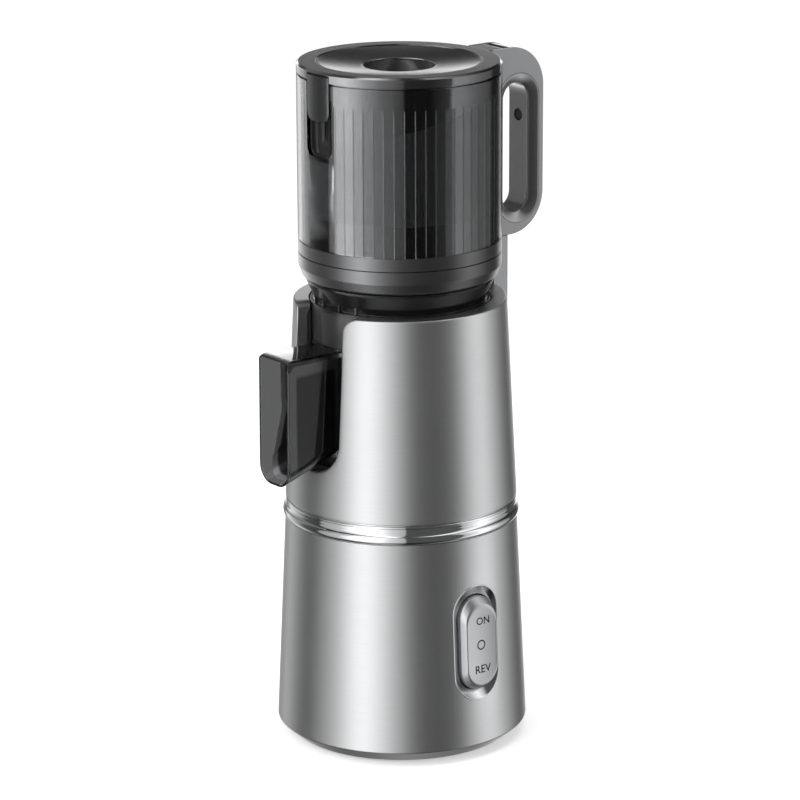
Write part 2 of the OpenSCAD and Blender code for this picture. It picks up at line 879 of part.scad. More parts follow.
module juice_bowl() {
    color(graphite) difference() {
        tube(bowl_skirt_z, shoulder_z, bowl_r, bowl_r - bowl_wall);
        span([-port_w / 2, -bowl_r - 5, port_top_z - port_h], [port_w / 2, -strainer_r, port_top_z]);
    }
}

module bowl_floor() {
    color(graphite) difference() {
        union() {
            disc(bowl_floor_z, strainer_z, bowl_r - bowl_wall - seat_gap);
            disc(bowl_floor_z - collar_h, bowl_floor_z + eps, tower_r + collar_gap + collar_wall);
        }
        disc(bowl_floor_z - collar_h - 1, bowl_floor_z, tower_r + collar_gap);
        disc(bowl_floor_z - 1, strainer_z + 1, hub_r);
    }
}

module bowl_neck() {
    neck_in_r = neck_r - bowl_wall;
    rib_w = 1.4;
    color(graphite) union() {
        tube(shoulder_z, bowl_rim_z, bowl_r, neck_in_r);
        tube(shoulder_z, neck_top_z, neck_r, neck_in_r);
        for (a = [-22, -8.5, 8.5, 22]) rotate(a - 90)
            span([neck_r - 1, -rib_w / 2, bowl_rim_z - eps], [neck_r + 1, rib_w / 2, hopper_ring_z - 1]);
    }
}

module hub_seal() {
    seat_z = bowl_floor_z + bowl_floor_t;
    color(rubber_black) tube(seat_z, seat_z + hub_seal_t, hub_r + hub_seal_w, spindle_r + part_gap);
}

module strainer() {
    slot_rows = 3;
    rows_z = strainer_z + 12;
    row_h = (strainer_top_z - rows_z - 8) / slot_rows;
    color([0.3, 0.31, 0.33]) difference() {
        tube(strainer_z, strainer_top_z, strainer_r + strainer_wall, strainer_r);
        for (row = [0 : slot_rows - 1], a = [0 : 15 : 345]) rotate(a)
            span([strainer_r - 2, -0.5, rows_z + row * row_h],
                [strainer_r + 4, 0.5, rows_z + (row + 0.8) * row_h]);
    }
}

// The two rings that hold the strainer's wall, one round its top and one inside its foot
module strainer_frame() {
    color([0.3, 0.31, 0.33]) {
        tube(strainer_top_z - strainer_floor_t, strainer_top_z, bowl_r - bowl_wall - part_gap,
            strainer_r + strainer_wall + seat_gap);
        tube(strainer_z, strainer_z + strainer_floor_t, strainer_r - seat_gap, hub_r + hub_seal_w + 1);
    }
}

// --- Spout ---

// Section across the spout in (x, z), from its floor up to its flat top
module spout_section(w, foot, top, corner) {
    translate([-w / 2, foot + corner]) square([w, top - foot - corner]);
    translate([-w / 2 + corner, foot]) square([w - 2 * corner, corner + eps]);
    for (side = [-1, 1]) translate([side * (w / 2 - corner), foot + corner]) circle(r = corner);
}

// The spout's filled shape, or with an inset the hollow inside it, which runs out through the front
module spout_solid(inset) {
    front_y = inset > 0 ? -spout_reach - 1 : -spout_reach;
    intersection() {
        front_slab(-bowl_r / 2, front_y) translate([-spout_w / 2 + inset, spout_foot_z])
            square([spout_w - 2 * inset, spout_h - inset]);
        spout_sloped(inset);
    }
}

// A section tipped to the fall, long enough to pass both ends
module spout_sloped(inset) {
    translate([0, -spout_reach, spout_foot_z + inset]) rotate([spout_fall, 0, 0])
        front_slab(spout_reach, -spout_h)
            spout_section(spout_w - 2 * inset, 0, 2 * spout_h, spout_corner - inset);
}

module juice_spout() {
    nose_z = spout_top_z - spout_nose;
    color(smoke) difference() {
        spout_solid(0);
        spout_solid(spout_wall);
        disc(spout_foot_z - 1, spout_top_z + 1, bowl_r + frame_t + seat_gap);
        side_slab(-spout_w, spout_w) difference() {
            translate([-spout_reach - 1, nose_z]) square(spout_nose + 1);
            translate([-spout_reach + spout_nose, nose_z]) circle(r = spout_nose);
        }
    }
}

module spout_frame() {
    frame_w = spout_w + 5;
    color(graphite) difference() {
        intersection() {
            tube(spout_foot_z + frame_lift, spout_top_z, bowl_r + frame_t, bowl_r + seat_gap);
            front_slab(-1, -base_r) translate([-frame_w / 2, 0]) square([frame_w, 2 * rim_z]);
        }
        span([-port_w / 2, -base_r, port_top_z - port_h], [port_w / 2, 0, port_top_z]);
    }
}

// --- Auger ---

module auger_core() {
    color([0.2, 0.2, 0.22]) difference() {
        union() {
            disc(auger_z, flight_z, auger_r - 2);
            core_cone();
        }
        translate([0, 0, auger_z - 1])
            cylinder(r = spindle_r + 0.2, h = spindle_z + spindle_h - auger_z + 2, $fn = 6);
    }
}

module core_cone() {
    cone(flight_z - eps, core_foot_r, auger_top_z, core_top_r);
}

module auger_flights() {
    in_r = core_top_r / 2;
    color([0.2, 0.2, 0.22]) difference() {
        translate([0, 0, flight_z])
            linear_extrude(auger_top_z - flight_z, twist = -auger_turn, slices = 44, $fn = 16)
                for (s = [0 : auger_starts - 1]) rotate(s * 360 / auger_starts)
                    translate([in_r, -flight_w / 2]) square([auger_r - in_r, flight_w]);
        core_cone();
    }
}

module cutting_wing() {
    wing_z = auger_top_z;
    wing_r = neck_r - bowl_wall - 3;
    nose_r = core_top_r;
    nose_top_r = nose_r / 2;
    wing_t = 4;
    color([0.16, 0.16, 0.17]) union() {
        cone(wing_z, nose_r, wing_z + nose_h - nose_top_r, nose_top_r);
        translate([0, 0, wing_z + nose_h - nose_top_r]) sphere(r = nose_top_r);
        for (a = [20, 200]) rotate(a) rotate([90, 0, 0]) linear_extrude(wing_t, center = true)
            polygon([[nose_r / 2, wing_z + 1], [wing_r - 6, wing_z + 3], [wing_r, wing_z + 12],
                [wing_r, wing_z + 20], [nose_r, wing_z + 0.7 * nose_h],
                [nose_r / 2, wing_z + 0.8 * nose_h]]);
    }
}

// --- Hopper ---

module hopper_ring() {
    in_r = neck_r + part_gap;
    seat_r = hopper_in_r - seat_gap;
    lip_r = neck_r - bowl_wall + 0.4;
    edge = 1.2;
    color(graphite) rotate_extrude() polygon([
        [in_r, hopper_ring_z], [hopper_ring_foot_r - edge, hopper_ring_z],
        [hopper_ring_foot_r, hopper_ring_z + edge], [hopper_r, hopper_z], [seat_r, hopper_z],
        [seat_r, funnel_z], [drum_r - drum_wall, funnel_z], [lip_r, neck_top_z + part_gap],
        [in_r, neck_top_z + part_gap]]);
}

module hopper() {
    color(smoke) difference() {
        tube(hopper_z, lid_z - part_gap, hopper_r, hopper_in_r);
        front_slab(-hopper_r / 2, -hopper_r - 5) slot_outline(slot_w, slot_z, lid_z + 1);
    }
}

// A slot in (x, z) with rounded lower corners
module slot_outline(w, z0, z1) {
    corner = 6;
    translate([-w / 2, z0 + corner]) square([w, z1 - z0 - corner]);
    translate([-w / 2 + corner, z0]) square([w - 2 * corner, corner + eps]);
    for (side = [-1, 1]) translate([side * (w / 2 - corner), z0 + corner]) circle(r = corner);
}

module ribbed_drum() {
    rib = 0.5;
    color(smoke) difference() {
        tube(funnel_z, drum_top_z, drum_r, drum_r - drum_wall);
        for (i = [0 : drum_ribs - 1]) rotate(i * 360 / drum_ribs)
            span([drum_r - rib, -0.6, funnel_z - 1], [drum_r + 1, 0.6, drum_top_z + 1]);
        front_slab(-hopper_r / 2, -hopper_r) translate([-slot_w / 2 - 4, slot_z - 6])
            square([slot_w + 8, lid_z]);
    }
}

module latch_pocket() {
    color(graphite) intersection() {
        tube(slot_z - 4, lid_z - plug_skirt_h - 1, hopper_in_r - seat_gap, hopper_in_r - pocket_wall);
        front_slab(0, -hopper_r) translate([-slot_w / 2 - 3, 0]) square([slot_w + 6, 2 * top_z]);
    }
}

// --- Handle ---

// The handle's outline in (y, z), rounded at its two outer corners
module handle_outline(inset) {
    y1 = handle_reach - inset;
    z0 = handle_foot_z + inset;
    z1 = handle_top_z - inset;
    r = handle_corner - inset;
    translate([hopper_r - 4, z0]) square([y1 - r - hopper_r + 4, z1 - z0]);
    translate([hopper_r, z0 + r]) square([y1 - hopper_r, z1 - z0 - 2 * r]);
    for (z = [z0 + r, z1 - r]) translate([y1 - r, z]) circle(r = r);
}

// The opening's outline in (y, z), a slot with round ends
module gap_outline() {
    translate([gap_y, (gap_top_z + gap_foot_z) / 2]) stadium(2 * gap_half, gap_top_z - gap_foot_z);
}

// What the handle has to leave free: the hopper's wall, the lid's path and the hinge's space
module handle_clearance() {
    disc(handle_foot_z - 1, lid_z - part_gap, hopper_r + seat_gap);
    disc(handle_foot_z - 1, hopper_z, hopper_r + seat_gap);
    disc(lid_z - part_gap - eps, top_z + 1, hopper_r + lid_swing_gap);
}

module handle_core() {
    half = handle_w / 2 - plate_t - seat_gap;
    room_y = hinge_y + knuckle_r + 1.3;
    color(graphite) difference() {
        side_slab(-half, half) difference() {
            handle_outline(0.3);
            gap_outline();
            translate([hopper_r - 5, hinge_z - knuckle_r - 1.3])
                square([room_y - hopper_r + 5, 2 * knuckle_r + 20]);
        }
        handle_clearance();
    }
}

module handle_plates() {
    color(silver) difference() {
        for (side = [-1, 1]) side_slab(side * handle_w / 2 - (side > 0 ? plate_t : 0),
            side * handle_w / 2 + (side > 0 ? 0 : plate_t)) difference() {
                handle_outline(0);
                gap_outline();
            }
        handle_clearance();
        hinge_bore(handle_w - 0.6, hinge_pin_r + seat_gap);
    }
}

module hinge_bore(length, r) {
    translate([0, hinge_y, hinge_z]) rotate([0, 90, 0]) cylinder(r = r, h = length, center = true);
}

module hinge_pin() {
    color(steel) hinge_bore(handle_w - 0.8, hinge_pin_r);
}

// The grip's section: its depth runs along x from the opening's edge inwards, its width along y
module grip_section() {
    w = handle_w - 0.2;
    depth = grip_crown - seat_gap;
    r = grip_round;
    translate([gap_half - grip_crown, 0]) {
        translate([r, -w / 2]) square([depth - r, w]);
        translate([0, -w / 2 + r]) square([depth, w - 2 * r]);
        for (side = [-1, 1]) intersection() {
            translate([r, side * (w / 2 - r)]) circle(r = r);
            translate([0, -w]) square([depth, 2 * w]);
        }
    }
}

module grip_liner() {
    top_c = gap_top_z - gap_half;
    foot_c = gap_foot_z + gap_half;
    color(graphite) difference() {
        union() {
            for (side = [0, 1]) translate([0, gap_y, 0]) mirror([0, side, 0]) translate([0, 0, foot_c])
                rotate(90) linear_extrude(top_c - foot_c) grip_section();
            translate([0, gap_y, top_c]) rotate([90, 0, 90]) rotate_extrude(angle = 180) grip_section();
            translate([0, gap_y, foot_c]) rotate([90, 180, 90]) rotate_extrude(angle = 180) grip_section();
        }
        at_plug() cylinder(r = plug_r + 0.3, h = 4);
    }
}

// Puts the plug's own frame on the grip: its Z axis points from the seat's floor into the opening
module at_plug() {
    translate([0, gap_y + gap_half - grip_crown + 2, plug_z]) rotate([90, 0, 0]) children();
}

module grip_plug() {
    color(rubber_black) at_plug() cylinder(r = plug_r, h = 1.4);
}

// --- Lid ---

module lid_ring() {
    floor_top = lid_floor_z + lid_floor_t;
    pan_r = feed_r + feed_wall + seat_gap;
    dish_seat_r = dish_r + 0.2;
    color(graphite) difference() {
        rotate_extrude() polygon([
            [hopper_r, lid_z], [hopper_r, top_z - lid_edge], [hopper_r - lid_edge, top_z],
            [dish_seat_r, top_z], [dish_seat_r, floor_top], [pan_r, floor_top], [pan_r, lid_floor_z],
            [skirt_r, lid_floor_z], [skirt_r, lid_z]]);
        difference() {
            span([-tab_w / 2 - seat_gap, -hopper_r - 1, lid_z - 1], [tab_w / 2 + seat_gap, 0, tab_top_z]);
            disc(lid_z - 2, top_z, hopper_r - tab_t - seat_gap);
        }
    }
}

module lid_skirt() {
    color(graphite) difference() {
        tube(lid_z - plug_skirt_h, lid_floor_z, skirt_r, skirt_r - plug_skirt_wall);
        tube(gasket_z, gasket_z + gasket_h, hopper_r, gasket_seat_r);
    }
}

module lid_gasket() {
    color(rubber_black) tube(gasket_z, gasket_z + gasket_h, gasket_r, gasket_seat_r + seat_gap);
}

module lid_dish() {
    floor_top = lid_floor_z + lid_floor_t;
    edge_z = top_z - 0.5;
    sphere_z = edge_z + sqrt(pow(dish_sphere_r, 2) - pow(dish_r, 2));
    color([0.45, 0.46, 0.47]) difference() {
        disc(floor_top, edge_z, dish_r);
        disc(floor_top - 1, top_z + 1, feed_r);
        disc(floor_top - 1, floor_top + 1.5 + seat_gap, feed_flange_r + 0.1);
        translate([0, 0, sphere_z]) sphere(r = dish_sphere_r, $fn = 180);
    }
}

module feed_tube() {
    floor_top = lid_floor_z + lid_floor_t;
    color(graphite) union() {
        tube(lid_z - feed_len, floor_top + 1.5, feed_r + feed_wall, feed_r);
        tube(floor_top, floor_top + 1.5, feed_flange_r, feed_r);
    }
}

module latch_tab() {
    color(graphite) intersection() {
        tube(lid_z - tab_drop, tab_top_z - seat_gap, hopper_r, hopper_r - tab_t);
        front_slab(0, -hopper_r - 1) slot_outline(tab_w, lid_z - tab_drop, top_z);
    }
}

module hinge_block() {
    half = knuckle_w / 2;
    top = handle_top_z - 0.2;
    color(graphite) difference() {
        union() {
            span([-half, hopper_r - 4, hinge_z - 2], [half, hinge_y, top]);
            hinge_bore(knuckle_w, knuckle_r);
        }
        disc(lid_z - eps, top_z + 1, hopper_r + seat_gap);
        disc(0, lid_z, hopper_r + 0.5);
        hinge_bore(handle_w, hinge_pin_r + run_gap);
    }
}

base_shell();
base_skirt();
bottom_plate();
rubber_feet();
plate_screws();
motor_cradle();
motor_dampers();
motor_can();
motor_rotor();
motor_fan();
motor_pinion();
gearbox_cup();
gearbox_cover();
idler_pin();
idler_gear();
output_gear();
output_shaft();
shaft_bearings();
shaft_seal();
deck();
chrome_ring();
upper_shell();
shell_rim();
shell_liner();
rear_post();
interlock_rod();
interlock_switch();
switch_bezel();
rocker_knob();
switch_body();
control_board();
power_inlet();
inlet_pins();
juice_bowl();
bowl_floor();
bowl_neck();
hub_seal();
strainer();
strainer_frame();
juice_spout();
spout_frame();
auger_core();
auger_flights();
cutting_wing();
hopper_ring();
hopper();
ribbed_drum();
latch_pocket();
handle_core();
handle_plates();
grip_liner();
grip_plug();
hinge_pin();
lid_ring();
lid_skirt();
lid_dish();
feed_tube();
lid_gasket();
latch_tab();
hinge_block();
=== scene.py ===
"""Cold press juicer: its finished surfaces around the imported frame, in metres.

Every place comes from the frame's own nodes and joints, and the sizes and colours that a user
would change are properties. Turned rings, walls with an opening, stacked outlines and the spout
are each worked out as whole numpy grids. The front is at -Y and the switch at +X.
"""

import json
import math

import bmesh
import bpy
import numpy as np
from mathutils import Matrix, Vector


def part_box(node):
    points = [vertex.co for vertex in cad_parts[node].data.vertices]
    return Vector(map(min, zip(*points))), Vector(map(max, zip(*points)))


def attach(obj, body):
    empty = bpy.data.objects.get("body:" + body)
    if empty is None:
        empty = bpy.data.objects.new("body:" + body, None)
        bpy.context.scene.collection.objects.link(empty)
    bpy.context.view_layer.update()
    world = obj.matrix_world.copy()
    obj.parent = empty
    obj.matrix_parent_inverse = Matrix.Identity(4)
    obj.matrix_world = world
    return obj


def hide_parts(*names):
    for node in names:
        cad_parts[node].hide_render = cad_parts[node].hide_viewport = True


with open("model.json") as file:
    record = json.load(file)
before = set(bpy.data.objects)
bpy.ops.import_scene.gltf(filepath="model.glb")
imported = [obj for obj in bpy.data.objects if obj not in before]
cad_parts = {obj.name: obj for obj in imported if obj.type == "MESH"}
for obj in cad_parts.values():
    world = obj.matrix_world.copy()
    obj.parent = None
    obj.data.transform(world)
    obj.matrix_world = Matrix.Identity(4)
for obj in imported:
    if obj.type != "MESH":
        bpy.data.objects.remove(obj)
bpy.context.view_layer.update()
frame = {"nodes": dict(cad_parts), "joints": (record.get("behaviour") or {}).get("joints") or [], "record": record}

bl_info = {
    "name": "Cold press juicer",
    "version": (1, 0, 0),
    "blender": (4, 5, 0),
    "location": "3D View > Sidebar > Juicer",
    "description": "Builds the finished surfaces of a cold press juicer around its frame",
    "category": "Add Mesh",
}

MM = 0.001
TAU = 2 * math.pi

# Sides that a turned piece has, and those of the pieces with a bright rim
RING_SIDES = 192
FINE_SIDES = 256
# Steps of a rounded edge
EDGE_STEPS = 4
# A support row this far beside each rounded edge keeps the flat next to it flat
GUARD = 0.25 * MM
# Vertices nearer than this are one
MERGE = 0.002 * MM


# --- Measures taken from the frame ---

def low(node):
    """The lowest corner of a node's box."""
    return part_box(node)[0]


def high(node):
    """The highest corner of a node's box."""
    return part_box(node)[1]


BASE_Z = low("base_skirt").z
BEVEL_Z = high("base_skirt").z
RING_Z = low("chrome_ring").z
SHELL_Z = high("chrome_ring").z
RIM_Z = high("shell_rim").z
RIM_FOOT_Z = low("shell_rim").z
NECK_Z = low("bowl_neck").z
HOPPER_RING_Z = low("hopper_ring").z
HOPPER_Z = low("hopper").z
HOPPER_TOP_Z = high("hopper").z
LID_FLOOR_Z = low("lid_ring").z
LID_TOP_Z = high("lid_ring").z

BASE_R = high("base_skirt").x
RING_R = high("chrome_ring").x
SHELL_R = high("upper_shell").x
SHELL_RIM_R = high("shell_rim").x
LINER_R = high("shell_liner").x
BOWL_R = high("juice_bowl").x
HOPPER_R = high("hopper").x
DISH_R = high("lid_dish").x

# How far the ring stands out past the base's top edge
RING_BULGE = 1.5 * MM
BASE_TOP_R = RING_R - RING_BULGE
# Gap between two pieces that fit together, such as the hopper's top edge and the lid's side
FIT_GAP = 0.3 * MM
LID_Z = HOPPER_TOP_Z + FIT_GAP
# Top of the dark band that carries the clear hopper
BAND_TOP_Z = HOPPER_Z + 8.4 * MM


def shell_radius(z):
    """The upper housing's outer radius, a straight line between its foot and its rim."""
    return SHELL_R + (SHELL_RIM_R - SHELL_R) * (z - SHELL_Z) / (RIM_FOOT_Z - SHELL_Z)


def hopper_radius(_height):
    """The hopper's outer radius, which is the same at every height."""
    return HOPPER_R


# --- Properties ---

class JuicerSizes(bpy.types.PropertyGroup):
    """Sizes of the finished surfaces."""
    edge_round: bpy.props.FloatProperty(
        name="Edge rounding", description="Radius of the housings' rounded edges",
        default=0.8 * MM, min=0.2 * MM, max=2 * MM, unit="LENGTH", precision=4)
    notch_round: bpy.props.FloatProperty(
        name="Notch rounding", description="Radius that rolls the housing into its front notch",
        default=1.2 * MM, min=0.6 * MM, max=4 * MM, unit="LENGTH", precision=4)
    drum_ribs: bpy.props.IntProperty(
        name="Drum ribs", description="Number of flat facets round the inner drum",
        default=60, min=40, max=72)
    letter_height: bpy.props.FloatProperty(
        name="Letter height", description="Height of the capitals on the rocker",
        default=4.7 * MM, min=3 * MM, max=7 * MM, unit="LENGTH", precision=4)


class JuicerColours(bpy.types.PropertyGroup):
    """Colours of the finishes."""
    silver: bpy.props.FloatVectorProperty(
        name="Silver", description="Satin metallic paint of the housings",
        default=(0.61, 0.615, 0.62), min=0, max=1, size=3, subtype="COLOR")
    graphite: bpy.props.FloatVectorProperty(
        name="Graphite", description="Dark lacquer of the lid, the ring and the handle's core",
        default=(0.30, 0.303, 0.31), min=0, max=1, size=3, subtype="COLOR")
    smoke: bpy.props.FloatVectorProperty(
        name="Smoke", description="Tint of the clear plastic",
        default=(0.60, 0.605, 0.61), min=0, max=1, size=3, subtype="COLOR")
    dish: bpy.props.FloatVectorProperty(
        name="Dish", description="Tinted metal disc in the lid",
        default=(0.46, 0.465, 0.47), min=0, max=1, size=3, subtype="COLOR")
    lettering: bpy.props.FloatVectorProperty(
        name="Lettering", description="Ink of the letters on the rocker",
        default=(0.005, 0.005, 0.005), min=0, max=1, size=3, subtype="COLOR")


def sizes():
    """The scene's sizes."""
    return bpy.context.scene.juicer_sizes


def colours():
    """The scene's colours."""
    return bpy.context.scene.juicer_colours


# --- Outlines ---

def arc(centre, radius, start, end, steps):
    """Points on a circle from one angle to another, in degrees."""
    turn = np.radians(np.linspace(start, end, steps + 1))
    return np.stack([centre[0] + radius * np.cos(turn), centre[1] + radius * np.sin(turn)], axis=1)


def rounded(corners, radii, steps=EDGE_STEPS):
    """A closed outline whose corners become arcs.

    An arc touches both sides at its radius over the tangent of half the corner's angle, and a
    support point follows each end of it. A radius of 0 leaves the corner sharp.
    """
    corners = np.asarray(corners, float)
    outline = []
    for i, radius in enumerate(np.broadcast_to(radii, len(corners))):
        corner = corners[i]
        to_last = corners[i - 1] - corner
        to_next = corners[(i + 1) % len(corners)] - corner
        to_last /= np.linalg.norm(to_last)
        to_next /= np.linalg.norm(to_next)
        if radius == 0:
            outline.append(corner[None])
            continue
        half = 0.5 * math.acos(np.clip(to_last @ to_next, -1, 1))
        cut = radius / math.tan(half)
        middle = to_last + to_next
        centre = corner + middle / np.linalg.norm(middle) * radius / math.sin(half)
        first = corner + to_last * cut - centre
        last = corner + to_next * cut - centre
        start = math.atan2(first[1], first[0])
        sweep = (math.atan2(last[1], last[0]) - start + math.pi) % TAU - math.pi
        turn = start + sweep * np.linspace(0, 1, steps + 1)
        outline.append((corner + to_last * (cut + GUARD))[None])
        outline.append(centre + radius * np.stack([np.cos(turn), np.sin(turn)], axis=1))
        outline.append((corner + to_next * (cut + GUARD))[None])
    return np.concatenate(outline)


def stadium(width, height, inset=0.0, steps=24):
    """A slot with round ends, counterclockwise from the top end's right side, moved in by inset."""
    radius = width / 2 - inset
    reach = (height - width) / 2
    top = arc((0, reach), radius, 0, 180, steps)
    return np.concatenate([top, -top])


def inset_loop(loop, inset):
    """A counterclockwise closed loop moved inwards by inset along its normals."""
    along = np.roll(loop, -1, axis=0) - np.roll(loop, 1, axis=0)
    along /= np.linalg.norm(along, axis=1, keepdims=True)
    return loop + inset * np.stack([-along[:, 1], along[:, 0]], axis=1)


def resampled(loop, count):
    """A closed loop as count points at equal steps of its length."""
    closed = np.concatenate([loop, loop[:1]])
    length = np.concatenate([[0], np.cumsum(np.linalg.norm(np.diff(closed, axis=0), axis=1))])
    steps = np.linspace(0, length[-1], count, endpoint=False)
    return np.stack([np.interp(steps, length, closed[:, i]) for i in (0, 1)], axis=1)


# --- Grids and pieces ---

def grid(points, wrap_rows=False, wrap_cols=False, flip=False):
    """Vertices and four-sided faces of a grid of points, joined end to end where it wraps."""
    rows, cols = points.shape[:2]
    index = np.arange(rows * cols).reshape(rows, cols)
    if wrap_rows:
        index = np.concatenate([index, index[:1]])
    if wrap_cols:
        index = np.concatenate([index, index[:, :1]], axis=1)
    faces = np.stack([index[:-1, :-1], index[:-1, 1:], index[1:, 1:], index[1:, :-1]], axis=-1)
    faces = faces.reshape(-1, 4)
    return points.reshape(-1, 3), faces[:, ::-1] if flip else faces


def lathe(profile, sides=RING_SIDES):
    """A closed counterclockwise (radius, height) profile turned about the Z axis."""
    turn = np.arange(sides) * TAU / sides
    radius, height = profile[:, :1], profile[:, 1:]
    points = np.stack([radius * np.cos(turn), radius * np.sin(turn),
                       np.broadcast_to(height, (len(profile), sides))], axis=-1)
    return grid(points, wrap_rows=True, wrap_cols=True)


def linked(name, data):
    """A new object of the scene, which shows the given data."""
    thing = bpy.data.objects.new(name, data)
    bpy.context.scene.collection.objects.link(thing)
    return thing


def edit_mesh(mesh, change):
    """Runs one change on a mesh's bmesh."""
    work = bmesh.new()
    work.from_mesh(mesh)
    change(work)
    work.to_mesh(mesh)
    work.free()


def join_parts(work):
    """Joins the vertices that parts share, and drops faces without area."""
    bmesh.ops.remove_doubles(work, verts=work.verts, dist=MERGE)
    bmesh.ops.dissolve_degenerate(work, dist=0.5 * MERGE, edges=work.edges)


def mesh_object(name, parts, smooth=True):
    """One object from several (vertices, faces) parts, with shared vertices joined."""
    vertices, faces, start = [], [], 0
    for points, quads in parts:
        vertices.append(points)
        faces.extend((np.asarray(quads) + start).tolist())
        start += len(points)
    mesh = bpy.data.meshes.new(name)
    mesh.from_pydata(np.concatenate(vertices).tolist(), [], faces)
    edit_mesh(mesh, join_parts)
    mesh.polygons.foreach_set("use_smooth", np.full(len(mesh.polygons), smooth))
    return linked(name, mesh)


def creased(piece, angle=50):
    """Keeps edges sharp where faces turn by more than the angle, in degrees."""
    piece.data.set_sharp_from_angle(angle=math.radians(angle))
    return piece


def solidified(piece, thickness):
    """Gives an open surface its wall, inwards from its faces."""
    wall = piece.modifiers.new("Wall", "SOLIDIFY")
    wall.thickness = thickness
    wall.offset = -1
    return piece


def bevelled(piece, width, segments=3, angle=40):
    """Rounds the edges where faces turn by more than the angle, in degrees."""
    edge = piece.modifiers.new("Edge", "BEVEL")
    edge.width = width
    edge.segments = segments
    edge.limit_method = "ANGLE"
    edge.angle_limit = math.radians(angle)
    edge.harden_normals = True
    return piece


def cut_away(piece, cutter):
    """Takes the cutter's solid out of the piece for good, and deletes the cutter."""
    cut = piece.modifiers.new("Cut", "BOOLEAN")
    cut.object = cutter
    cut.solver = "EXACT"
    depsgraph = bpy.context.evaluated_depsgraph_get()
    cleaned = bpy.data.meshes.new_from_object(piece.evaluated_get(depsgraph))
    piece.modifiers.remove(cut)
    piece.data = cleaned
    bpy.data.objects.remove(cutter)
    return creased(piece, 35)


def face_outwards(work):
    """Turns every face of a closed solid outwards."""
    bmesh.ops.recalc_face_normals(work, faces=work.faces)


def prism(name, outline, place, near, far):
    """A solid that carries a flat outline from one height to another, as a cutter."""
    loops = np.stack([place(outline, near), place(outline, far)])
    vertices, faces = grid(loops, wrap_cols=True)
    count = len(outline)
    caps = [list(range(count))[::-1], list(range(count, 2 * count))]
    mesh = bpy.data.meshes.new(name)
    mesh.from_pydata(vertices.tolist(), [], faces.tolist() + caps)
    edit_mesh(mesh, face_outwards)
    return linked(name, mesh)


def box_outline(left, foot, right, top):
    """The four corners of an upright box, counterclockwise."""
    return np.array([(left, foot), (right, foot), (right, top), (left, top)])


def rear_place(outline, depth):
    """Puts a flat (x, z) outline at a distance behind the axis, or in front of it if under 0."""
    return np.stack([outline[:, 0], np.full(len(outline), depth), outline[:, 1]], axis=1)


def finish_piece(piece, body, material, replaces=()):
    """Gives a piece its finish, its body and the nodes that it stands for."""
    piece.data.materials.clear()
    piece.data.materials.append(finish(material))
    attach(piece, body)
    if replaces:
        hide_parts(*replaces)
    return piece


# --- Shader groups ---

def new_group(name, inputs, output):
    """A shader group with its float inputs and their defaults, and its one float output."""
    group = bpy.data.node_groups.new(name, "ShaderNodeTree")
    for label, default in inputs.items():
        socket = group.interface.new_socket(label, in_out="INPUT", socket_type="NodeSocketFloat")
        socket.default_value = default
    group.interface.new_socket(output, in_out="OUTPUT", socket_type="NodeSocketFloat")
    source = group.nodes.new("NodeGroupInput")
    result = group.nodes.new("NodeGroupOutput")
    return group, source.outputs, result.inputs[output]


def add(tree, kind, inputs=None, **settings):
    """A new node with some of its settings, and its inputs as other nodes' sockets or constants."""
    node = tree.nodes.new(kind)
    for name, value in settings.items():
        setattr(node, name, value)
    for label, value in (inputs or {}).items():
        if isinstance(value, bpy.types.NodeSocket):
            tree.links.new(value, node.inputs[label])
        else:
            node.inputs[label].default_value = value
    return node


def math_node(tree, operation, first, second, clamp=False):
    """One step of arithmetic on two numbers or sockets."""
    node = add(tree, "ShaderNodeMath", {0: first, 1: second}, operation=operation, use_clamp=clamp)
    return node.outputs[0]


def object_place(tree):
    """Places on the piece, in metres."""
    return add(tree, "ShaderNodeTexCoord").outputs["Object"]


def noise_scale(tree, size):
    """The scale of a noise from its size in millimetres."""
    return math_node(tree, "DIVIDE", 1 / MM, size)


def grain_group():
    """Fine moulded grain: a noise at the given size in millimetres, between 0 and 1."""
    group, source, result = new_group("Fine grain", {"Size": 1.0, "Detail": 3.0}, "Height")
    noise = add(group, "ShaderNodeTexNoise", {
        "Vector": object_place(group), "Scale": noise_scale(group, source["Size"]),
        "Detail": source["Detail"]})
    group.links.new(noise.outputs["Fac"], result)
    return group


def smudge_group():
    """Soft handling marks: a broad noise folded so that most of the surface stays clean."""
    group, source, result = new_group("Smudges", {"Size": 40.0}, "Mask")
    noise = add(group, "ShaderNodeTexNoise", {
        "Vector": object_place(group), "Scale": noise_scale(group, source["Size"]),
        "Detail": 5, "Roughness": 0.6})
    clean_share, contrast = 0.42, 3.5
    level = math_node(group, "SUBTRACT", noise.outputs["Fac"], clean_share)
    group.links.new(math_node(group, "MULTIPLY", level, contrast, clamp=True), result)
    return group


def edge_wear_and_highlight_group():
    """Lighter convex edges from wear and from a painted highlight: how far the surface bends outwards there, from
    its pointiness.
    """
    # The mask lightens convex edges as wear and also as a painted highlight.
    group, source, result = new_group("Edge wear", {"Reach": 0.06}, "Mask")
    geometry = add(group, "ShaderNodeNewGeometry")
    flat = 0.5
    bend = math_node(group, "SUBTRACT", geometry.outputs["Pointiness"], flat)
    group.links.new(math_node(group, "DIVIDE", bend, source["Reach"], clamp=True), result)
    return group


def turned_group():
    """Lathe lines: a noise read along the distance from the Z axis only."""
    group, source, result = new_group("Turned lines", {"Pitch": 0.3}, "Height")
    flat = add(group, "ShaderNodeVectorMath", {0: object_place(group), 1: (1, 1, 0)},
               operation="MULTIPLY")
    reach = add(group, "ShaderNodeVectorMath", {0: flat.outputs[0]}, operation="LENGTH")
    noise = add(group, "ShaderNodeTexNoise", {
        "W": reach.outputs["Value"], "Scale": noise_scale(group, source["Pitch"]), "Detail": 4},
        noise_dimensions="1D")
    group.links.new(noise.outputs["Fac"], result)
    return group


